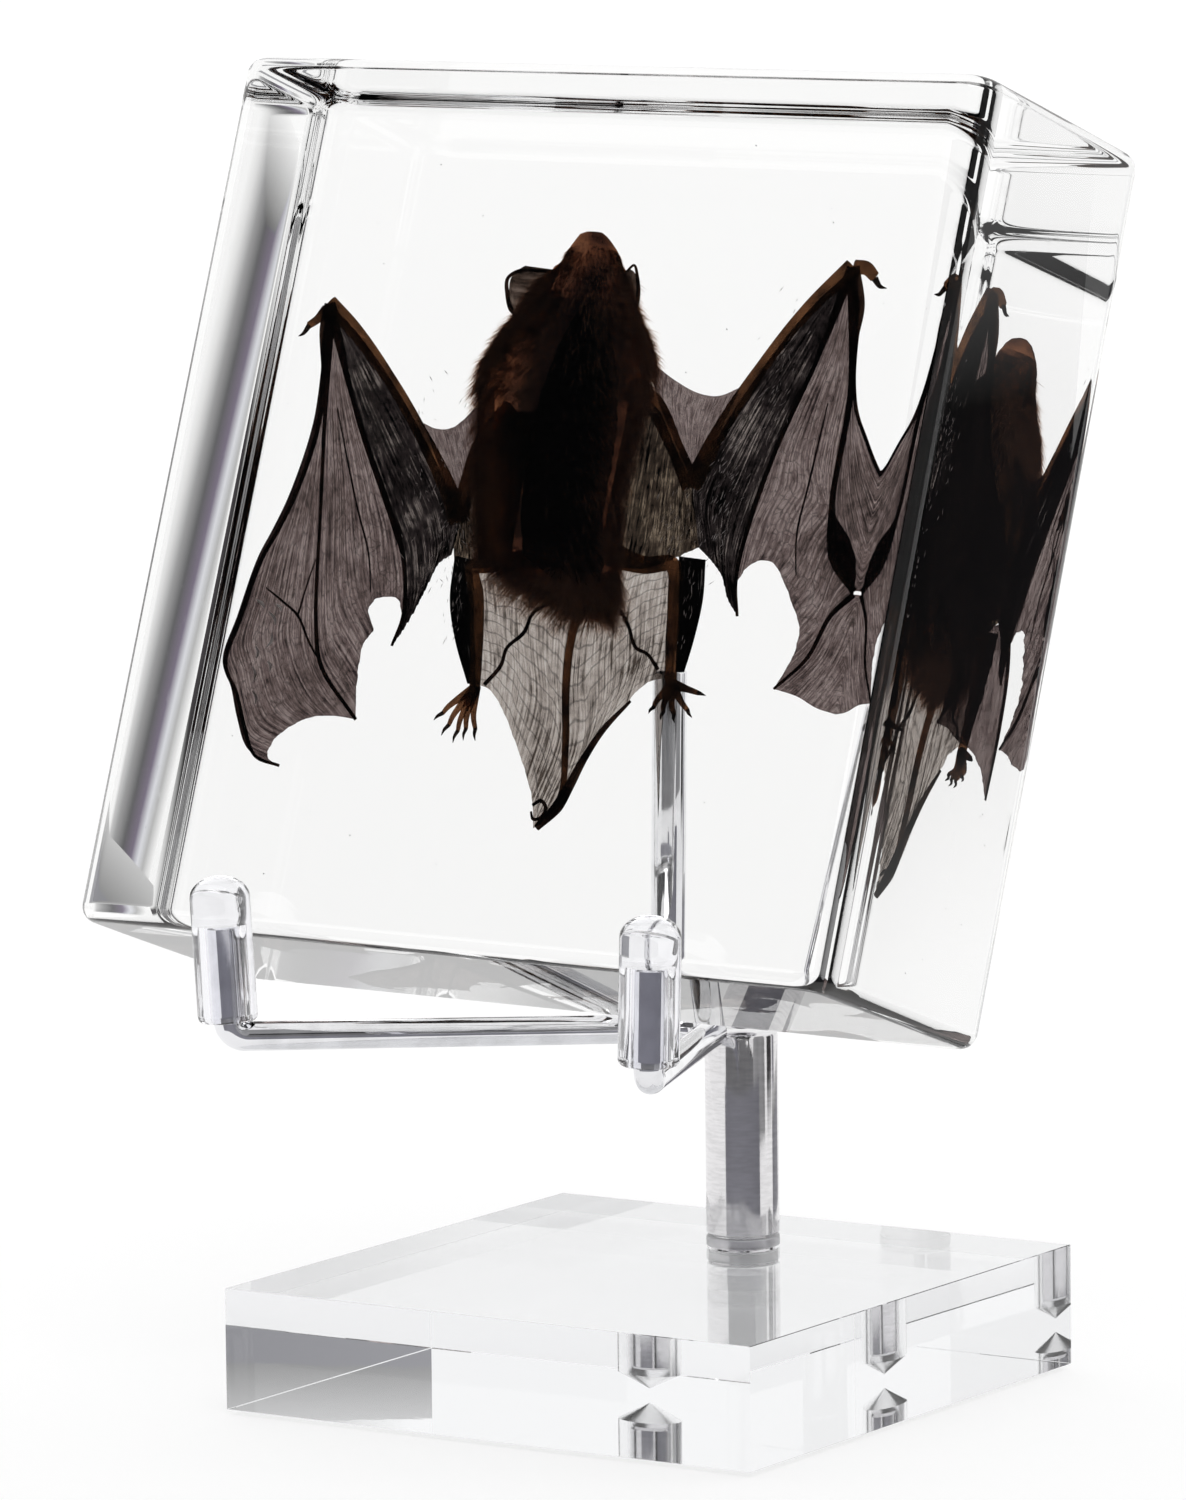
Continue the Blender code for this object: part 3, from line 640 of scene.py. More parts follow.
def skin_material(name, dark, middle, pale, streaks, net=0.0, cross_lines=0.0, start=0.40):
    """Dried skin in resin: light comes straight through it, tinted, and less so along its folds.

    A net of cracks darkens it, and the tail has curved lines that run across it.
    """
    made, shader = new_material(name)
    panel, place = uv_place(shader, "panel"), object_place(shader)
    total = noise(panel, streaks, 8.0, (7, 0.5, 1))
    for scale, detail, share in ((120.0, 2.0, 0.45), (900.0, 3.0, 0.35)):
        extra = noise(place, scale, detail)
        total = maths("MULTIPLY_ADD", extra, share, total)
    stops = [(start, dark), (start + 0.09, middle), (start + 0.2, pale)]
    colour = ramp(maths("MULTIPLY", total, 0.55), stops)
    lines = []
    if net:
        bent = settle(new_node(panel, "ShaderNodeMix", data_type="VECTOR"), {"Factor": 0.06})
        wander = settle(new_node(panel, "ShaderNodeTexNoise"), {"Scale": 7.0})
        feed(panel, wander, "Vector")
        feed(panel, bent, "A")
        feed(wander.outputs["Color"], bent, "B")
        cells = new_node(panel, "ShaderNodeTexVoronoi", feature="DISTANCE_TO_EDGE")
        settle(cells, {"Scale": 1.0})
        feed(stretched(bent.outputs["Result"], (net, net * 0.8, 1.0)), cells, "Vector")
        lines.append(ramp(cells.outputs["Distance"], [(0.0, 0.2), (0.07, 1.0)]))
    if cross_lines:
        bands = new_node(panel, "ShaderNodeTexWave", bands_direction="Y")
        settle(bands, {"Scale": cross_lines, "Distortion": 5.0, "Detail Scale": 1.2})
        feed(panel, bands, "Vector")
        lines.append(ramp(bands.outputs["Fac"], [(0.0, 0.3), (0.1, 1.0)]))
    for line in lines:
        colour = mixed(colour, line)
    feed(colour, shader, "Base Color")
    soaked(shader, 0.88, 0.0)
    return made


wing_skin = skin_material(
    "wing_skin", (0.0012, 0.0006, 0.0006), (0.021, 0.0115, 0.0105), (0.07, 0.046, 0.042), 9.0, net=30.0
)
# The folded skin's palest stop is a painted highlight: pale patches that stand in for light glinting off its
# wrinkles.
folded_skin = skin_material(
    "folded_skin", (0.0, 0.0, 0.0), (0.0007, 0.0004, 0.0004), (0.06, 0.043, 0.037), 12.0, net=34.0,
    start=0.455,
)
flank_skin = skin_material(
    "flank_skin", (0.0, 0.0, 0.0), (0.0022, 0.0011, 0.0006), (0.05, 0.03, 0.016), 10.0, net=30.0, start=0.445
)
black_skin = skin_material(
    "black_skin", (0.0, 0.0, 0.0), (0.0, 0.0, 0.0), (0.02, 0.016, 0.015), 6.0, start=0.50
)
tail_skin = skin_material(
    "tail_skin", (0.005, 0.003, 0.002), (0.13, 0.10, 0.083), (0.27, 0.23, 0.20), 7.0, cross_lines=4.0
)


def bat_part(piece, finish):
    return dressed(piece, finish, "bat_skin_and_fur", "bat")


LEFT_WRIST = (-45.6, 27.0)
RIGHT_WRIST = (31.6, 34.6)
left_digit_3 = [
    LEFT_WRIST, (-46, 24), (-44.9, 18), (-44.5, 12), (-45, 8), (-46.6, 2),
    (-48.3, -2), (-50, -5.5), (-51.8, -13), (-53, -18.9), (-50.5, -22.5),
    (-48.5, -26.5), (-46.2, -30), (-42.2, -31),
]
left_digit_4 = [LEFT_WRIST, (-44, 15), (-42.2, 2), (-40, -13), (-38.2, -18.2), (-31.6, -24.5)]
left_digit_5 = [
    LEFT_WRIST, (-38, 12), (-30.5, 0), (-28.2, -4), (-26.8, -11), (-27.8, -15.1),
]
left_forearm = [LEFT_WRIST, (-41, 23.8), (-34.5, 18), (-28, 11), (-22, 3.4), (-20.6, 0.8)]
left_upper_arm = [(-20.6, 0.8), (-20, 6), (-18.6, 11), (-15, 15)]
right_digit_3 = [
    RIGHT_WRIST, (33.5, 30), (33.6, 26), (34.2, 21), (35.4, 17), (37.2, 14),
    (39, 11.2), (42.2, 7), (45.2, 2.5), (47.6, -3.6),
]
right_digit_3_tip = [(47.6, -4.2), (48.8, -10), (48.3, -17), (46.5, -25.4)]
right_digit_4 = [RIGHT_WRIST, (34, 20), (33.8, 6), (35, -0.6), (38.8, -4.4)]
right_digit_4_tip = [(38.8, -4.8), (36, -7.6), (33.6, -12.8), (29.5, -16.8)]
right_digit_5 = [RIGHT_WRIST, (28.8, 24), (24.6, 12), (22.4, 3), (21.7, -4), (22.7, -8.4)]
right_forearm = [RIGHT_WRIST, (26, 29), (21, 22.2), (16.6, 14.8), (13.2, 7)]
right_upper_arm = [(13.2, 7), (10, 11.5), (6, 16.5), (2, 18.5)]

tail_line = [(0.5, -5), (-1, -12), (-0.8, -18), (0.6, -26), (-2.4, -36)]


def leg_fold(name, left, right):
    """The narrow fold of skin along a leg, closed straight across at both ends."""
    top, bottom = [left[0], right[0]], [left[-1], right[-1]]
    return skin_panel(name, left, right, top, bottom, 3, 0.3, 0.0, (30, 120))


panels = [
    skin_panel(
        "left_wing_outer_skin", left_digit_3, left_digit_4, [LEFT_WRIST],
        [
            (-42.2, -31), (-44.2, -30), (-43.7, -28), (-41.5, -26.1), (-38.5, -24.7),
            (-34.8, -24.3), (-31.6, -24.5),
        ],
        9, 0.10, 0.3,
    ),
    skin_panel(
        "left_wing_middle_skin", left_digit_4, left_digit_5, [LEFT_WRIST],
        [
            (-31.6, -24.5), (-32.3, -20), (-32.2, -15), (-31.1, -13.3), (-32.3, -11),
            (-31.5, -9.5), (-30, -9.1), (-28.2, -9.2), (-27.2, -11), (-27.8, -15.1),
        ],
        12, 0.12, 0.4,
    ),
    skin_panel(
        "left_wing_inner_skin", left_digit_5, left_forearm + [(-20.8, -2), (-21, -3.3)],
        [LEFT_WRIST],
        [(-27.8, -15.1), (-26, -12), (-24.2, -8), (-22.8, -4.6), (-21, -3.3)],
        14, 0.16, -0.3,
    ),
    skin_panel(
        "left_flank_skin", [(-20.6, 0.8), (-21, -1.5), (-20.4, -4.2)],
        [(-12, 15), (-12, 5), (-12, -4)],
        [(-20.6, 0.8), (-19.2, 9), (-15.5, 14.5), (-12, 15)],
        [(-20.4, -4.2), (-17, -4.8), (-12, -4)], 9, 0.25, -0.2,
    ),
    skin_panel(
        "left_front_skin", [(-28.4, 12.8), (-25, 7.5), (-20.8, 2)],
        [(-18.6, 18.2), (-17.8, 13), (-19.6, 5)],
        [(-28.4, 12.8), (-26.4, 12.2), (-24, 12.4), (-21.5, 14.4), (-18.6, 18.2)],
        [(-20.8, 2), (-19.6, 5)], 6, 0.12, 0,
    ),
    skin_panel(
        "right_wing_outer_skin", right_digit_4, right_digit_3, [RIGHT_WRIST],
        [(38.8, -4.4), (43, -4), (47.6, -3.6)], 6, 0.12, 0.3,
    ),
    skin_panel(
        "right_wing_tip_skin", right_digit_4_tip, right_digit_3_tip,
        [(38.8, -4.8), (43, -4.6), (47.6, -4.2)],
        [(29.5, -16.8), (33, -17.5), (36, -18.7), (40, -19.6), (43.5, -21.5), (46.5, -25.4)],
        5, 0.12, 0.3,
    ),
    skin_panel(
        "right_wing_middle_skin", right_digit_5, right_digit_4 + right_digit_4_tip, [RIGHT_WRIST],
        [
            (22.7, -8.4), (21.8, -5), (22.4, -3.2), (24, -1.7), (26.5, -1.6), (28.4, -3.6),
            (30.3, -6.5), (31.8, -9.2), (31.6, -12.4), (29.5, -16.8),
        ],
        12, 0.12, 0.4,
    ),
    skin_panel(
        "right_wing_inner_skin", right_forearm + [(14.6, 2.5), (15.5, -0.4)], right_digit_5,
        [RIGHT_WRIST],
        [(15.5, -0.4), (17.5, -1.8), (19.6, -3.8), (20.9, -6.4), (22.7, -8.4)], 14, 0.16, -0.3,
    ),
    skin_panel(
        "right_flank_skin", [(2, 18), (1.5, 8), (1, -3)],
        [(13.2, 7), (14.6, 2.5), (15.5, -0.4)],
        [(2, 18), (6, 16.5), (10, 11.5), (13.2, 7)],
        [(1, -3), (8, -3.4), (15.5, -0.4)], 9, 0.25, -0.2,
    ),
    skin_panel(
        "right_front_skin", [(4.5, 21.8), (5.5, 18.5), (12.6, 8)],
        [(18, 19.4), (16, 14), (13.4, 7.4)],
        [(4.5, 21.8), (8.5, 19.7), (12, 18.4), (15, 18.2), (18, 19.4)],
        [(12.6, 8), (13.4, 7.4)], 6, 0.12, 0,
    ),
    leg_fold(
        "left_leg_fold", [(-20.5, -3.4), (-20.2, -8.9), (-18.5, -13.7), (-15.6, -19)],
        [(-17.8, -3.7), (-16.6, -8.6), (-15.5, -13.6), (-14.1, -19.2)],
    ),
    leg_fold(
        "right_leg_fold", [(12.8, -1.6), (13.8, -6.9), (14.4, -11.8), (14.9, -15.7)],
        [(16.8, -1.8), (17.3, -6.7), (16.9, -11.6), (16.2, -15.6)],
    ),
    skin_panel(
        "left_tail_skin", [(-19, -4), (-17.4, -9), (-16.4, -14), (-14.9, -19)], tail_line,
        [(-19, -4), (-10, -3.5), (0.5, -5)],
        [
            (-14.9, -19), (-12.2, -19.5), (-9.6, -22), (-7.5, -25), (-5, -29),
            (-3.2, -32.6), (-2.4, -36),
        ],
        8, 0.1, 0.3,
    ),
    skin_panel(
        "right_tail_skin", tail_line, [(13.4, -2), (14.2, -8), (14.6, -16.2)],
        [(0.5, -5), (6, -3), (13.4, -2)],
        [
            (-2.4, -36), (0.4, -34.4), (2, -31.2), (4.5, -25.2), (8, -20.6), (10.8, -17.4),
            (14.6, -16.2),
        ],
        8, 0.1, 0.3,
    ),
]
finishes = {"wing": wing_skin, "front": wing_skin, "inner": folded_skin, "flank": flank_skin}
finishes |= {"leg": black_skin, "tail": tail_skin}
for panel in panels:
    for word, skin in finishes.items():
        if word in panel.name:
            finish = skin
    bat_part(panel, finish)

# The bones: arms, fingers, thumbs, legs and tail under dried skin, with the veins and cracks.
# Each is a bar that thins towards its end, and they swell a little at the joints. Each row gives
# the points, the radii along them, the steps, the lift over the skin and the sides.


def bone(name, points, radii, count=60, lift=0.0, sides=14):
    """A bar through the points, with its radius passing smoothly through the given ones."""
    path = through(points, count)
    path[:, 2] += lift
    radius = np.interp(np.linspace(0, 1, count), np.linspace(0, 1, len(radii)), radii)
    return carried(name, on_bat(path), radius, sides=sides, sharp=80.0)


def bone_material(name, dark, light, through_share=0.85):
    """Dried limbs in resin: they pass brown light, and the resin takes away their gloss."""
    made, shader = new_material(name)
    place = object_place(shader)
    grain = noise(place, 260.0, 5.0)
    feed(ramp(grain, [(0.38, dark), (0.66, light)]), shader, "Base Color")
    soaked(shader, through_share, 0.1)
    return made


bone_skin = bone_material("dried_limb_skin", (0.012, 0.006, 0.004), (0.15, 0.066, 0.03))
finger_skin = bone_material("dried_finger_skin", (0.002, 0.001, 0.001), (0.035, 0.018, 0.012))
claw_horn = bone_material("claw_horn", (0.003, 0.002, 0.002), (0.02, 0.014, 0.011))

for name, points, radii, *more in (
    ("left_forearm_bone", left_forearm, [1.15, 1.0, 0.85, 0.9, 1.2, 1.4], 60, 0.4),
    ("left_upper_arm_bone", left_upper_arm, [1.3, 1.1, 1.3, 1.6], 60, 0.5),
    ("left_finger_3", left_digit_3, [0.9, 0.42, 0.34, 0.3, 0.32, 0.34, 0.26, 0.24, 0.2], 120),
    ("left_finger_4", left_digit_4, [0.8, 0.3, 0.24, 0.32, 0.24], 90),
    ("left_finger_5", left_digit_5, [0.8, 0.34, 0.3, 0.36, 0.28, 0.2], 90, 0.2),
    ("left_thumb", [(-46, 26.2), (-47.2, 25), (-48.4, 24.2)], [0.9, 0.6, 0.5], 20, 0.2),
    ("left_leg_bone", [(-8, -3), (-14.5, -4.2), (-17.4, -4.8), (-16.2, -8), (-15.3, -12), (-14.2, -19.6)],
     [1.5, 1.1, 1.0, 1.0, 0.9, 0.75], 80, 0.3),
    ("right_forearm_bone", right_forearm, [1.2, 0.95, 0.9, 1.1, 1.4], 60, 0.4),
    ("right_upper_arm_bone", right_upper_arm, [1.3, 1.1, 1.3, 1.6], 60, 0.5),
    ("right_finger_3", right_digit_3, [0.9, 0.4, 0.26, 0.24, 0.28, 0.34], 110),
    ("right_finger_3_tip", right_digit_3_tip, [0.4, 0.35, 0.3, 0.2], 50),
    ("right_finger_4", right_digit_4, [0.8, 0.42, 0.4, 0.5], 90),
    ("right_finger_4_tip", right_digit_4_tip, [0.42, 0.3, 0.28, 0.18]),
    ("right_finger_5", right_digit_5, [0.8, 0.34, 0.3, 0.34, 0.3, 0.2], 90, 0.2),
    ("right_thumb", [(32, 34.6), (33.6, 34.6), (35, 33.6)], [1, 0.85, 0.7], 20, 0.2),
    ("right_leg_bone", [(3, -2), (8, -3), (12.2, -2.8), (13.4, -7), (13.9, -12), (14.6, -17.2)],
     [1.5, 1.1, 1.0, 1.1, 0.95, 0.8], 80, 0.3),
    ("tail_bone", [(0.5, -5), (-1, -12), (-0.8, -18), (0.6, -26), (0.9, -32), (-2, -35.6)],
     [1.0, 0.6, 0.55, 0.5, 0.42, 0.2], 90, 0.2),
    ("left_tail_vein", [(-4.5, -8), (-7.4, -9.8), (-8.3, -12.2), (-10.5, -14.3), (-11, -16.5), (-13, -19)],
     [0.3, 0.24, 0.28, 0.24, 0.28, 0.3], 70, 0.0, 8),
    ("right_tail_vein", [(5.5, -8.7), (7, -10.5), (8.5, -13), (10.5, -13.8), (12.3, -15.5)],
     [0.26, 0.24, 0.24, 0.22, 0.26], 60, 0.0, 8),
    ("left_wing_crack", [(-48.6, -9), (-45.6, -10.6), (-43, -12.2), (-40.6, -15.4), (-38, -18.2)],
     [0.1, 0.16, 0.18, 0.16, 0.1], 50, 0.0, 8),
    ("left_wing_branch", [(-43, -12.2), (-42.4, -8.6), (-41.6, -5)], [0.14, 0.12, 0.08], 30, 0.0, 8),
    ("right_wing_vein", [(31, 18), (30, 8), (29.4, 2), (30.2, -3)], [0.1, 0.14, 0.14, 0.08], 50, 0.0, 8),
    ("left_wing_vein", [(-42, 14), (-36.6, 2), (-33.6, -4), (-32.4, -8.6)],
     [0.1, 0.14, 0.14, 0.08], 50, 0.0, 8),
    ("tail_edge_fold", [(9, -19.6), (5.6, -23.4), (3.4, -27.2), (2, -30.4), (0.6, -33.2), (-1.9, -35.9)],
     [0.2, 0.4, 0.5, 0.65, 0.8, 0.45], 60, 0.0, 10),
    ("tail_tip_curl", [(-2.9, -33.2), (-1.8, -32.6), (-0.9, -33.4), (-1.4, -34.6), (-2.5, -34.9), (-3, -34)],
     [0.22, 0.25, 0.25, 0.22, 0.22, 0.15], 40, 0.3, 8),
):
    thin = any(word in name for word in ("finger", "vein", "edge", "curl", "crack", "branch"))
    bat_part(bone(name, points, radii, *more), finger_skin if thin else bone_skin)

# Pale diffuse skin: on the wing flakes it is flaked dry skin, and on the skin glints it is a painted
# highlight in the place of light caught on the wrinkles.
flaked_skin = bone_material("flaked_skin", (0.12, 0.1, 0.095), (0.42, 0.38, 0.37), 0.0)
flake_ends = [
    ((-49.6, -10.6), (-48.2, -11.6)), ((-47.4, -12), (-46, -13.6)), ((-46.4, -14.6), (-46.8, -16.4)),
    ((-48.6, -16.4), (-48.2, -18)), ((-48.6, -19), (-48, -20.8)), ((-48, -22), (-47.2, -23.6)),
    ((-46.4, -11), (-45.6, -11.8)), ((-46.4, -18.2), (-45.8, -19.4)),
]
for number, (start, end) in enumerate(flake_ends):
    middle = ((start[0] + end[0]) / 2 + 0.35, (start[1] + end[1]) / 2)
    flake = bone(f"wing_flake_{number}", [start, middle, end], [0.06, 0.24, 0.06], 20, lift=0.4, sides=6)
    bat_part(flake, flaked_skin)

# Glints and dust: pale specks on the wings, flanks and legs, which are painted highlights in the place of
# light caught on the wrinkled skin, and fine dust that was caught in the resin. Both are strewn at random,
# the glints round set places and along the folds.


def flecks(name, places, ways, length, width):
    """Small spindles, each a double pyramid: six points round its place, along its own way."""
    ways = ways / np.linalg.norm(ways, axis=1)[:, None]
    across = np.cross(ways, (0.31, 0.52, 0.79))
    across /= np.linalg.norm(across, axis=1)[:, None]
    other = np.cross(ways, across)
    size = seeded.uniform(0.4, 1.0, len(places))[:, None]
    long, wide = ways * length / 2 * size, width / 2 * size
    waist = [places + across * wide, places + other * wide, places - across * wide, places - other * wide]
    points = np.stack([places + long, *waist, places - long], axis=1)
    one_end = [(0, 1, 2), (0, 2, 3), (0, 3, 4), (0, 4, 1)]
    other_end = [(5, 2, 1), (5, 3, 2), (5, 4, 3), (5, 1, 4)]
    faces = (np.arange(len(places))[:, None, None] * 6 + np.array(one_end + other_end)).reshape(-1, 3)
    return placed(name, (points.reshape(-1, 3) * MM).tolist(), faces.tolist())


GLINT_LIFT = 0.9
DUST_COUNT = 60

# The glints are painted highlights: pale flecks in the place of light glinting off the skin's wrinkles.
glint_places, glint_ways = [], []
for middle, reach, way, count in (
    ((-22.5, 3), (1.5, 4.5), (0.35, 1), 90),
    ((-19, 0), (1.2, 3), (-0.4, 1), 60),
    ((-28, 9), (1.6, 5), (-0.5, 1), 50),
    ((18, 7), (1.6, 5), (0.5, 1), 110),
    ((12, 2), (1.6, 3.4), (0.5, 1), 70),
    ((24, 18), (1.6, 5), (0.5, 1), 60),
    ((-18.8, -9), (0.6, 4), (0.1, 1), 30),
    ((15.4, -7), (0.6, 4), (0.1, 1), 30),
):
    spot = np.array(middle) + seeded.normal(0, 1, (count, 2)) * reach
    glint_places.append(np.concatenate([spot, np.full((count, 1), GLINT_LIFT)], axis=1))
    bent = np.array(way) + seeded.normal(0, 0.35, (count, 2))
    glint_ways.append(np.concatenate([bent, np.zeros((count, 1))], axis=1))
glint_places, glint_ways = np.concatenate(glint_places), np.concatenate(glint_ways)
glint_ends = on_bat(glint_places + glint_ways) - on_bat(glint_places)
bat_part(flecks("skin_glints", on_bat(glint_places), glint_ends, 1.1, 0.11), flaked_skin)

dust_places = seeded.uniform((-52.0, 3.0, -50.0), (50.0, 35.0, 50.0), (DUST_COUNT, 3))
dust_ways = seeded.normal(0, 1, (DUST_COUNT, 3))
dust = flecks("resin_dust", in_block(dust_places), dust_ways, 0.34, 0.16)
dressed(dust, claw_horn, "bat_skin_and_fur")

# The feet: each has five toes with hooked claws, and each thumb on the wing has a claw too.
# The toes fan out from the ankle and are arched, and the claws curve to a point.

LEFT_ANKLE = (-14.2, -19.4)
RIGHT_ANKLE = (14.8, -17.2)
LEFT_TOES = [(-19.8, -23.8), (-18.3, -25.6), (-16.4, -26.4), (-14.9, -26), (-13.1, -25.9)]
RIGHT_TOES = [(19.8, -18.2), (18.3, -21), (15.9, -21.8), (13.8, -21.6), (11.9, -20.9)]


def foot(side, ankle, toes):
    """Five toes that fan out from the ankle, each arched at its knuckle, and a hooked claw on each."""
    for number, toe in enumerate(toes):
        root, tip = np.array([*ankle, 0.1]), np.array([*toe, -0.1])
        knuckle = root * 0.42 + tip * 0.58 + (0, 0, 0.7)
        claw = tip - (tip - root) * 0.22
        toe_path = [root, knuckle, claw]
        bat_part(bone(f"{side}_toe_{number}", toe_path, [0.75, 0.42, 0.3], 24, sides=10), bone_skin)
        hook = (claw + tip) / 2 + (0, 0, 0.35)
        bat_part(bone(f"{side}_claw_{number}", [claw, hook, tip], [0.3, 0.22, 0.04], 16, sides=8), claw_horn)


foot("left", LEFT_ANKLE, LEFT_TOES)
foot("right", RIGHT_ANKLE, RIGHT_TOES)
for name, points in (
    ("left_thumb_claw", [(-48.4, 24.2), (-49.1, 23.2), (-49.8, 22.8)]),
    ("right_thumb_claw", [(35, 33.4), (35.9, 32.5), (36.9, 32.3)]),
):
    bat_part(bone(name, points, [0.45, 0.3, 0.05], 16, sides=8), claw_horn)

# The body: a loft over the dried trunk and head, under a coat of fur that is dark at its core
# and red-brown at the tips. The fur is fine blades rooted in the body, in overlapping locks.

COAT = [
    (-8.8, 0.2, 3.2, 0.8, 0.3),
    (-6.4, -8.6, 4.4, 2.4, 0.8),
    (-3.6, -15.4, 4.8, 3.4, 1.6),
    (-1.0, -16.6, 4.6, 4.0, 2.0),
    (3.7, -17.0, 3.9, 4.8, 2.6),
    (7.5, -17.8, 4.4, 5.3, 3.0),
    (12.4, -18.8, 5.0, 5.7, 3.2),
    (16.4, -19.2, 5.3, 5.8, 3.1),
    (20.2, -19.0, 5.3, 5.8, 2.9),
    (22.6, -17.9, 4.9, 5.6, 2.6),
    (24.8, -16.9, 3.6, 5.4, 2.2),
    (26.8, -15.4, 2.0, 5.2, 1.7),
    (28.8, -14.6, 0.4, 5.0, 1.2),
    (30.8, -13.6, -0.9, 4.7, 0.9),
    (32.4, -12.0, -1.3, 4.4, 0.7),
    (33.4, -10.8, -1.9, 4.0, 0.7),
    (34.9, -10.2, -2.8, 3.5, 0.7),
    (36.2, -9.3, -4.0, 2.7, 0.7),
    (37.0, -8.8, -4.9, 1.9, 0.8),
    (37.4, -8.0, -5.6, 0.8, 0.8),
]
CORE = [
    (-6.0, -4.0, 2.0, 0.8, 0.6),
    (-3.0, -9.5, 2.6, 2.4, 1.6),
    (2.0, -10.4, 1.6, 3.8, 2.5),
    (7.0, -10.6, 1.8, 4.4, 3.0),
    (13.0, -10.4, 1.8, 4.8, 3.2),
    (19.0, -9.2, 0.8, 4.8, 3.0),
    (24.0, -8.0, -1.4, 4.2, 2.3),
    (27.0, -7.0, -3.2, 3.0, 1.5),
    (28.5, -6.0, -4.4, 1.2, 1.2),
]


def body_point(sections, level, turn):
    """A point on a loft of ellipses round the sections' middle line, at a level from 0 tail to 1 head."""
    columns = np.array(sections).T
    place = np.linspace(0, 1, len(sections))
    height, left, right, half, lift = (np.interp(level, place, column) for column in columns)
    x = (left + right) / 2 + (right - left) / 2 * np.cos(turn)
    return np.stack([x, height + 0 * turn, lift + half * np.sin(turn)], axis=-1)


def body_loft(name, sections, ripple):
    """The loft as a closed skin, with a shallow ripple over it for the clumped coat."""
    levels, sides = 150, 120
    level = np.linspace(0, 1, levels)[:, None]
    turn = (np.arange(sides) * 2 * np.pi / sides)[None, :]
    points = body_point(sections, level, turn)
    middle = body_point(sections, level, turn + np.pi)
    wave = np.sin(level * 70 + 2 * np.sin(turn * 5)) * np.sin(turn * 7 + 3 * np.sin(level * 30))
    points = points + (points - middle) * 0.5 * ripple * wave[..., None] * np.sin(np.pi * level)[..., None]
    uv = grid_places(levels, sides)
    uv[:, 0] = np.tile(np.cos(turn[0]) * 0.5 + 0.5, levels)
    return unwrapped(surface(name, on_bat(points), wrap=True, capped=True, sharp=180.0), "coat", uv)


trunk_skin = bone_material("trunk_skin", (0.0006, 0.0004, 0.0004), (0.003, 0.002, 0.0018), 0.0)
settle(trunk_skin.node_tree.nodes["Principled BSDF"], {"Specular IOR Level": 0.0})
bat_part(body_loft("trunk", CORE, 0.03), trunk_skin)


def coat_material():
    """The coat soaked in resin: black over the trunk, and brown light comes through its sides."""
    made, shader = new_material("soaked_coat")
    across, along = across_and_along(shader, "coat")
    wide = noise(object_place(shader), 170.0, 7.0, (1.0, 1.0, 2.8))
    side = ramp(across, [(0.0, 0.68), (0.18, 0.55), (0.38, 0.0), (0.74, 0.0), (1.0, 0.58)])
    head_stops = [(0.05, 0.5), (0.18, 0.0), (0.6, 0.0), (0.72, 0.24), (0.86, 0.42), (0.93, 0.3)]
    lighter = maths("MAXIMUM", side, ramp(along, head_stops))
    total = maths("MULTIPLY_ADD", wide, 0.7, lighter)
    stops = [
        (0.42, (0.001, 0.0006, 0.0006)), (0.64, (0.03, 0.012, 0.008)),
        (0.84, (0.12, 0.045, 0.022)), (1.0, (0.2, 0.085, 0.042)),
    ]
    feed(ramp(total, stops), shader, "Base Color")
    soaked(shader, 0.92, 0.05)
    return made


bat_part(body_loft("coat", COAT, 0.05), coat_material())


BLADE_POINTS = 12


def fur(name, count, length, width, low, high, spread, droop):
    """Blades of hair, each four points long and folded to a roof, curving back towards the tail.

    At part s of its length a blade is at root - 0.3 out + reach (s way + s^2 down / 4). Roots are
    spread evenly between two levels, and sines of level and turn lean hairs near each other the
    same way, which gathers them into locks.
    """
    level = seeded.uniform(low, high, count)
    turn = seeded.integers(0, 2, count) * np.pi + seeded.normal(0, spread, count)
    root = body_point(COAT, level, turn)
    middle = body_point(COAT, level, turn + np.pi)
    out = root - (root + middle) / 2
    out[:, 1] = 0
    out /= np.linalg.norm(out, axis=1)[:, None] + 1e-9
    clump = np.sin(level * 160 + 2.0 * np.sin(turn * 9)) * 0.5 + np.sin(turn * 13 + level * 40) * 0.5
    down = np.array([0.0, -1.0, 0.0])
    side = np.cross(out, down)
    lean = droop + 0.25 * clump + seeded.normal(0, 0.12, count)
    sideways = 0.3 * clump + seeded.normal(0, 0.18, count)
    way = out * 0.75 + down * lean[:, None] + side * sideways[:, None]
    way /= np.linalg.norm(way, axis=1)[:, None]
    reach = length * seeded.uniform(0.55, 1.15, count) * (1 + 0.25 * clump)
    across = np.cross(way, out)
    across /= np.linalg.norm(across, axis=1)[:, None] + 1e-9
    steps = np.array([0.0, 0.4, 0.75, 1.0])
    thin = np.array([1.0, 0.8, 0.45, 0.06])
    spine = (
        root[:, None]
        - out[:, None] * 0.3
        + way[:, None] * (reach[:, None] * steps)[..., None]
        + down * ((reach * 0.25)[:, None] * steps**2)[..., None]
    )
    half = across[:, None] * (width * thin)[None, :, None]
    ridge = out[:, None] * (width * 0.5 * thin)[None, :, None]
    points = np.stack([spine - half, spine + ridge, spine + half], axis=2)
    point = np.arange(count * BLADE_POINTS)
    index = point.reshape(count, 4, 3)
    low_edge, high_edge = index[:, :-1], index[:, 1:]
    corners = [low_edge[..., :-1], low_edge[..., 1:], high_edge[..., 1:], high_edge[..., :-1]]
    quads = np.stack(corners, axis=-1)
    places = on_bat(points.reshape(-1, 3)) * MM
    made = placed(name, places.tolist(), quads.reshape(-1, 4).tolist())
    made.data.shade_smooth()
    shade = seeded.random(count)
    uv = np.stack([shade[point // BLADE_POINTS], steps[point % BLADE_POINTS // 3]], axis=-1)
    return unwrapped(made, "hair", uv)


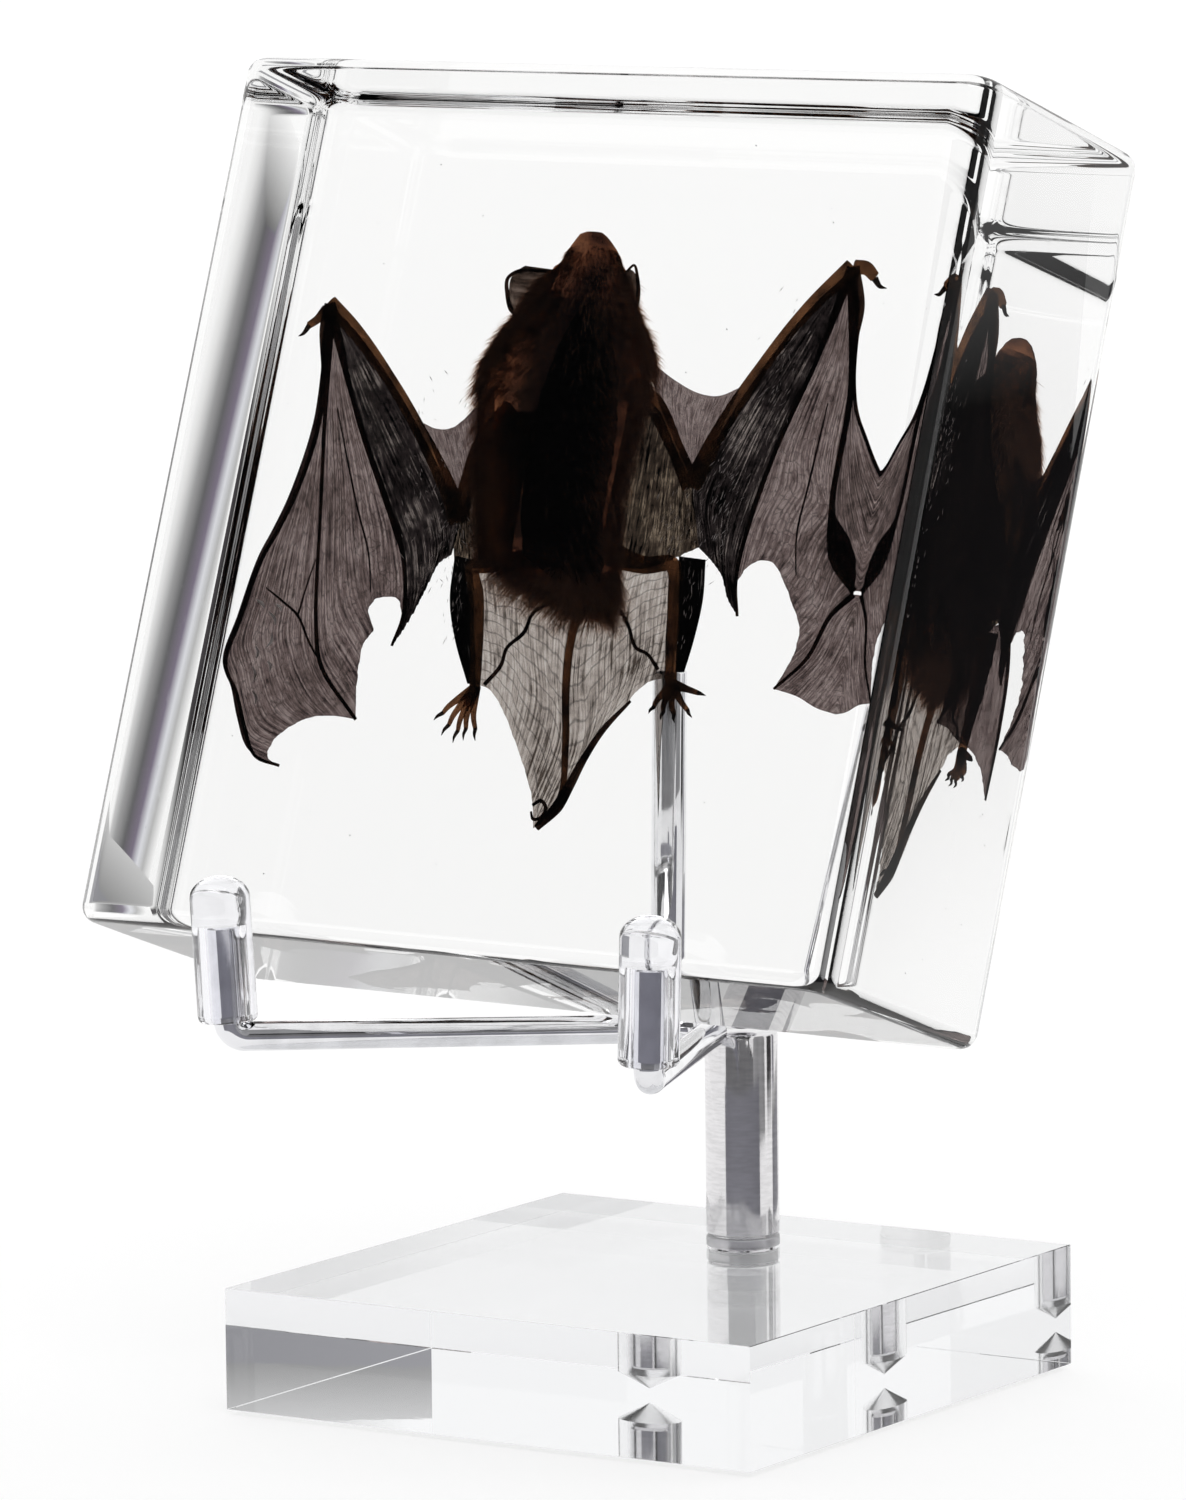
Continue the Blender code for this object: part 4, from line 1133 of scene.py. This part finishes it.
def fur_material():
    """Wet hair: dark at the root and red-brown at the tip, and each hair has a tone of its own."""
    made, shader = new_material("fur")
    own_tone, along = across_and_along(shader, "hair")
    stops = [(0.0, (0.05, 0.022, 0.014)), (0.5, (0.13, 0.06, 0.036)), (1.0, (0.34, 0.19, 0.12))]
    tone = ramp(own_tone, [(0.0, 0.6), (1.0, (1.3, 1.25, 1.2))])
    feed(mixed(ramp(along, stops), tone), shader, "Base Color")
    soaked(shader, 0.8, 0.0)
    return made


fur_finish = fur_material()
for row in (
    ("belly_fur", 9000, 2.0, 0.06, 0.04, 0.4, 0.5, 0.55),
    ("chest_fur", 10000, 2.9, 0.06, 0.38, 0.68, 0.5, 0.55),
    ("head_fur", 6000, 1.0, 0.045, 0.62, 0.86, 0.6, 0.55),
    ("neck_wisps", 1200, 2.8, 0.05, 0.42, 0.74, 0.25, 0.15),
    ("shoulder_tufts", 2600, 1.9, 0.055, 0.36, 0.7, 0.3, 0.1),
    ("belly_fringe", 5000, 3.8, 0.06, 0.0, 0.09, 1.6, 0.55),
):
    bat_part(fur(*row), fur_finish)

# The ears: thin folded leaves of skin, the left one spread and the right one seen edge on.
# Each has a rim that is a little thicker and darker than the leaf.

EAR_GRID = 40
EAR_SKIN = 0.25


def ear(name, base_left, base_right, tip_left, tip_right, cup):
    """A leaf between a base line and a rounded tip line, cupped across its width.

    Its lift is cup (2s - 1)^2 (0.4 + 0.6t), with a shallow ripple, s across and t up the leaf.
    """
    s = np.linspace(0, 1, EAR_GRID)[None, :, None]
    t = np.linspace(0, 1, EAR_GRID)[:, None, None]
    low = np.array(base_left) * (1 - s) + np.array(base_right) * s
    high = np.array(tip_left) * (1 - s) + np.array(tip_right) * s
    points = low * (1 - t) + high * t
    round_off = 1 - (2 * s - 1) ** 4 * t**3 * 0.35
    points = low + (points - low) * round_off
    lift = cup * (2 * s - 1) ** 2 * (0.4 + 0.6 * t) + 0.12 * np.sin(14 * s + 3 * t)
    points = np.concatenate([points, lift + 0 * points[..., :1]], axis=-1)
    made = surface(name, on_bat(points), sharp=180.0)
    unwrapped(made, "panel", grid_places(EAR_GRID, EAR_GRID))
    thick = made.modifiers.new("thick", "SOLIDIFY")
    thick.thickness = EAR_SKIN * MM
    thick.offset = 0.0
    return made


ear_skin = skin_material("ear_skin", (0.003, 0.002, 0.0015), (0.05, 0.034, 0.026), (0.16, 0.12, 0.1), 1.0)
left_ear = ear("left_ear", (-11.6, 32.6), (-13.4, 26.8), (-18.6, 32.9), (-18.6, 27), 0.9)
right_ear = ear("right_ear", (-1.9, 31.4), (0.8, 27.4), (-0.3, 33.7), (1.2, 29), 1.2)
rims = [
    bone(
        "left_ear_rim",
        [
            (-12.4, 32.3), (-15.4, 32.4), (-17.6, 32.2), (-18.9, 31.2), (-18.6, 29.4),
            (-17.6, 27.4), (-16.2, 26.7),
        ],
        [0.25, 0.2, 0.22, 0.26, 0.3, 0.34, 0.3], 60, lift=0.5, sides=8,
    ),
    bone(
        "right_ear_rim",
        [(-1.3, 32.6), (-0.2, 33.6), (0.6, 32), (1.1, 30), (1.1, 28.2)],
        [0.2, 0.16, 0.26, 0.3, 0.3], 40, lift=0.6, sides=8,
    ),
]
for rim in rims:
    bat_part(rim, finger_skin)
bat_part(left_ear, ear_skin)
bat_part(right_ear, ear_skin)

# The room: a pale table that runs out to white on all sides, and soft light from above.
# Curtains and grey cards that the camera doesn't see give the clear faces and the metal their
# dark lines and greys.


def card(name, corners, colour, glow):
    """A flat card with its own paint, which may glow."""
    made = placed(name, corners, [(0, 1, 2, 3)])
    paint, shader = new_material(name)
    settle(shader, {"Base Color": (*colour, 1.0), "Roughness": 0.9})
    settle(shader, {"Emission Color": (1.0, 1.0, 1.0, 1.0), "Emission Strength": glow})
    made.data.materials.append(paint)
    return made


TABLE_HALF = 6.0
TABLE_TOP = -0.0006

table_corners = [(TABLE_HALF * x, TABLE_HALF * y, TABLE_TOP) for x, y in ((-1, -1), (1, -1), (1, 1), (-1, 1))]
card("table", table_corners, (0.3, 0.3, 0.3), 0.72)
world = bpy.data.worlds.new("white_room")
world.use_nodes = True
settle(world.node_tree.nodes["Background"], {"Color": (1.0, 1.0, 1.0, 1.0), "Strength": 1.0})
bpy.context.scene.world = world
bpy.context.scene.view_settings.view_transform = "Standard"

CURTAIN_AWAY = 1.7


def curtain(name, start, end, distance, low, top, tone):
    """A curtain that hangs on an arc round the table: (d cos a, d sin a) from angle start to end."""
    turn = np.radians(np.linspace(start, end, 60))[None, :] + np.zeros((2, 1))
    height = np.array([[low * 1000], [top * 1000]]) + 0 * turn
    x, y = distance * 1000 * np.cos(turn), distance * 1000 * np.sin(turn)
    made = surface(name, np.stack([x, y, height], axis=-1))
    cloth, shader = new_material(name)
    stops = [(0.3, tone), (0.7, tuple(1.3 * c for c in tone))]
    weave = noise(object_place(shader), 3.0)
    feed(ramp(weave, stops), shader, "Base Color")
    settle(shader, {"Roughness": 1.0})
    made.data.materials.append(cloth)
    made.visible_camera = False
    return made


curtain("dark_curtain", -108.0, -20.0, CURTAIN_AWAY, 0.5, 2.4, (0.02, 0.02, 0.022))
curtain("grey_curtain", -108.0, -20.0, CURTAIN_AWAY, 0.0, 0.5, (0.16, 0.16, 0.165))
curtain("side_curtain", -20.0, 20.0, CURTAIN_AWAY, 0.0, 2.4, (0.3, 0.3, 0.305))
curtain("raised_curtain", -155.0, -108.0, CURTAIN_AWAY, 0.6, 2.4, (0.01, 0.01, 0.011))
low_card = curtain("low_card", -112.0, 5.0, 0.13, 0.0, 0.05, (0.2, 0.2, 0.225))
low_card.visible_diffuse = False
low_card.visible_shadow = False


CARD_CENTRE = (0.0, -0.02, 0.0)


def soft_card(name, azimuth, distance, shift, width, height, across, upward):
    """A card whose grey changes across it, and which fades to white or a paler grey up it."""
    turn = math.radians(azimuth)
    way = Vector((math.cos(turn), math.sin(turn), 0.0))
    side = Vector((-math.sin(turn), math.cos(turn), 0.0))
    middle = Vector(CARD_CENTRE) + way * distance + side * shift
    corners = [middle - side * width / 2, middle + side * width / 2]
    corners += [corner + Vector((0, 0, height)) for corner in corners[::-1]]
    made = card(name, corners, (0.0, 0.0, 0.0), 1.0)
    unwrapped(made, "card", np.array([(0.0, 0.0), (1.0, 0.0), (1.0, 1.0), (0.0, 1.0)]))
    shader = made.data.materials[0].node_tree.nodes["Principled BSDF"]
    x, y = across_and_along(shader, "card")
    feed(mixed(ramp(x, across), ramp(y, upward), "LIGHTEN"), shader, "Emission Color")
    made.visible_camera = False
    made.visible_diffuse = False


GREY = (0.12, 0.12, 0.125)
VIOLET = (0.20, 0.17, 0.23)
WHITE = 1.0
soft_card(
    "band_card", 54.0, 0.30, 0.040, 0.084, 0.135,
    [
        (0.0, WHITE), (0.13, 0.5), (0.22, (0.75, 0.76, 0.8)), (0.32, VIOLET),
        (0.46, GREY), (0.6, (0.35, 0.35, 0.355)), (0.74, 0.8), (0.85, WHITE),
    ],
    [(0.85, 0.0), (1.0, WHITE)],
)
soft_card(
    "side_card", 54.0, 0.30, -0.062, 0.10, 0.16,
    [(0, 0.02), (1, (0.05, 0.045, 0.05))],
    [(0.1, WHITE), (0.32, 0.0), (0.62, 0.0), (0.85, WHITE)],
)
soft_card(
    "base_card", 57.0, 0.15, 0.042, 0.08, 0.034,
    [(0.0, (0.22, 0.22, 0.24)), (1.0, (0.34, 0.34, 0.36))],
    [(0.55, 0), (1, 0.6)],
)

key = bpy.data.lights.new("soft_key", "AREA")
key.energy = 5.0
key.size = 0.8
key_place = bpy.data.objects.new("soft_key", key)
key_place.location = (0.5, -0.6, 1.4)
key_place.rotation_euler = (Vector((0, 0, 0.1)) - key_place.location).to_track_quat("-Z", "Y").to_euler()
bpy.context.scene.collection.objects.link(key_place)

# The camera stands to the right of the front and a little above the block, a long way back.
# Its place is in mm and its turns are in degrees, and it looks down by the pitch.

CAMERA_PLACE = (578.7, -902.2, 215.5)
CAMERA_YAW = 33.021
CAMERA_PITCH = -7.268
CAMERA_ROLL = -0.711
CAMERA_LENS = 213.3

yaw, pitch, roll = (math.radians(a) for a in (CAMERA_YAW, CAMERA_PITCH, CAMERA_ROLL))
ahead = Vector((-math.sin(yaw) * math.cos(pitch), math.cos(yaw) * math.cos(pitch), math.sin(pitch)))
level = Vector((math.cos(yaw), math.sin(yaw), 0.0))
upward = level.cross(ahead)
right_way = level * math.cos(roll) + upward * math.sin(roll)
up_way = upward * math.cos(roll) - level * math.sin(roll)
camera = bpy.data.cameras.new("camera")
camera.lens = CAMERA_LENS
camera_object = bpy.data.objects.new("camera", camera)
turn = Matrix((right_way, up_way, -ahead)).transposed().to_4x4()
camera_object.matrix_world = Matrix.Translation(Vector(CAMERA_PLACE) * MM) @ turn
bpy.context.scene.collection.objects.link(camera_object)
bpy.context.scene.camera = camera_object
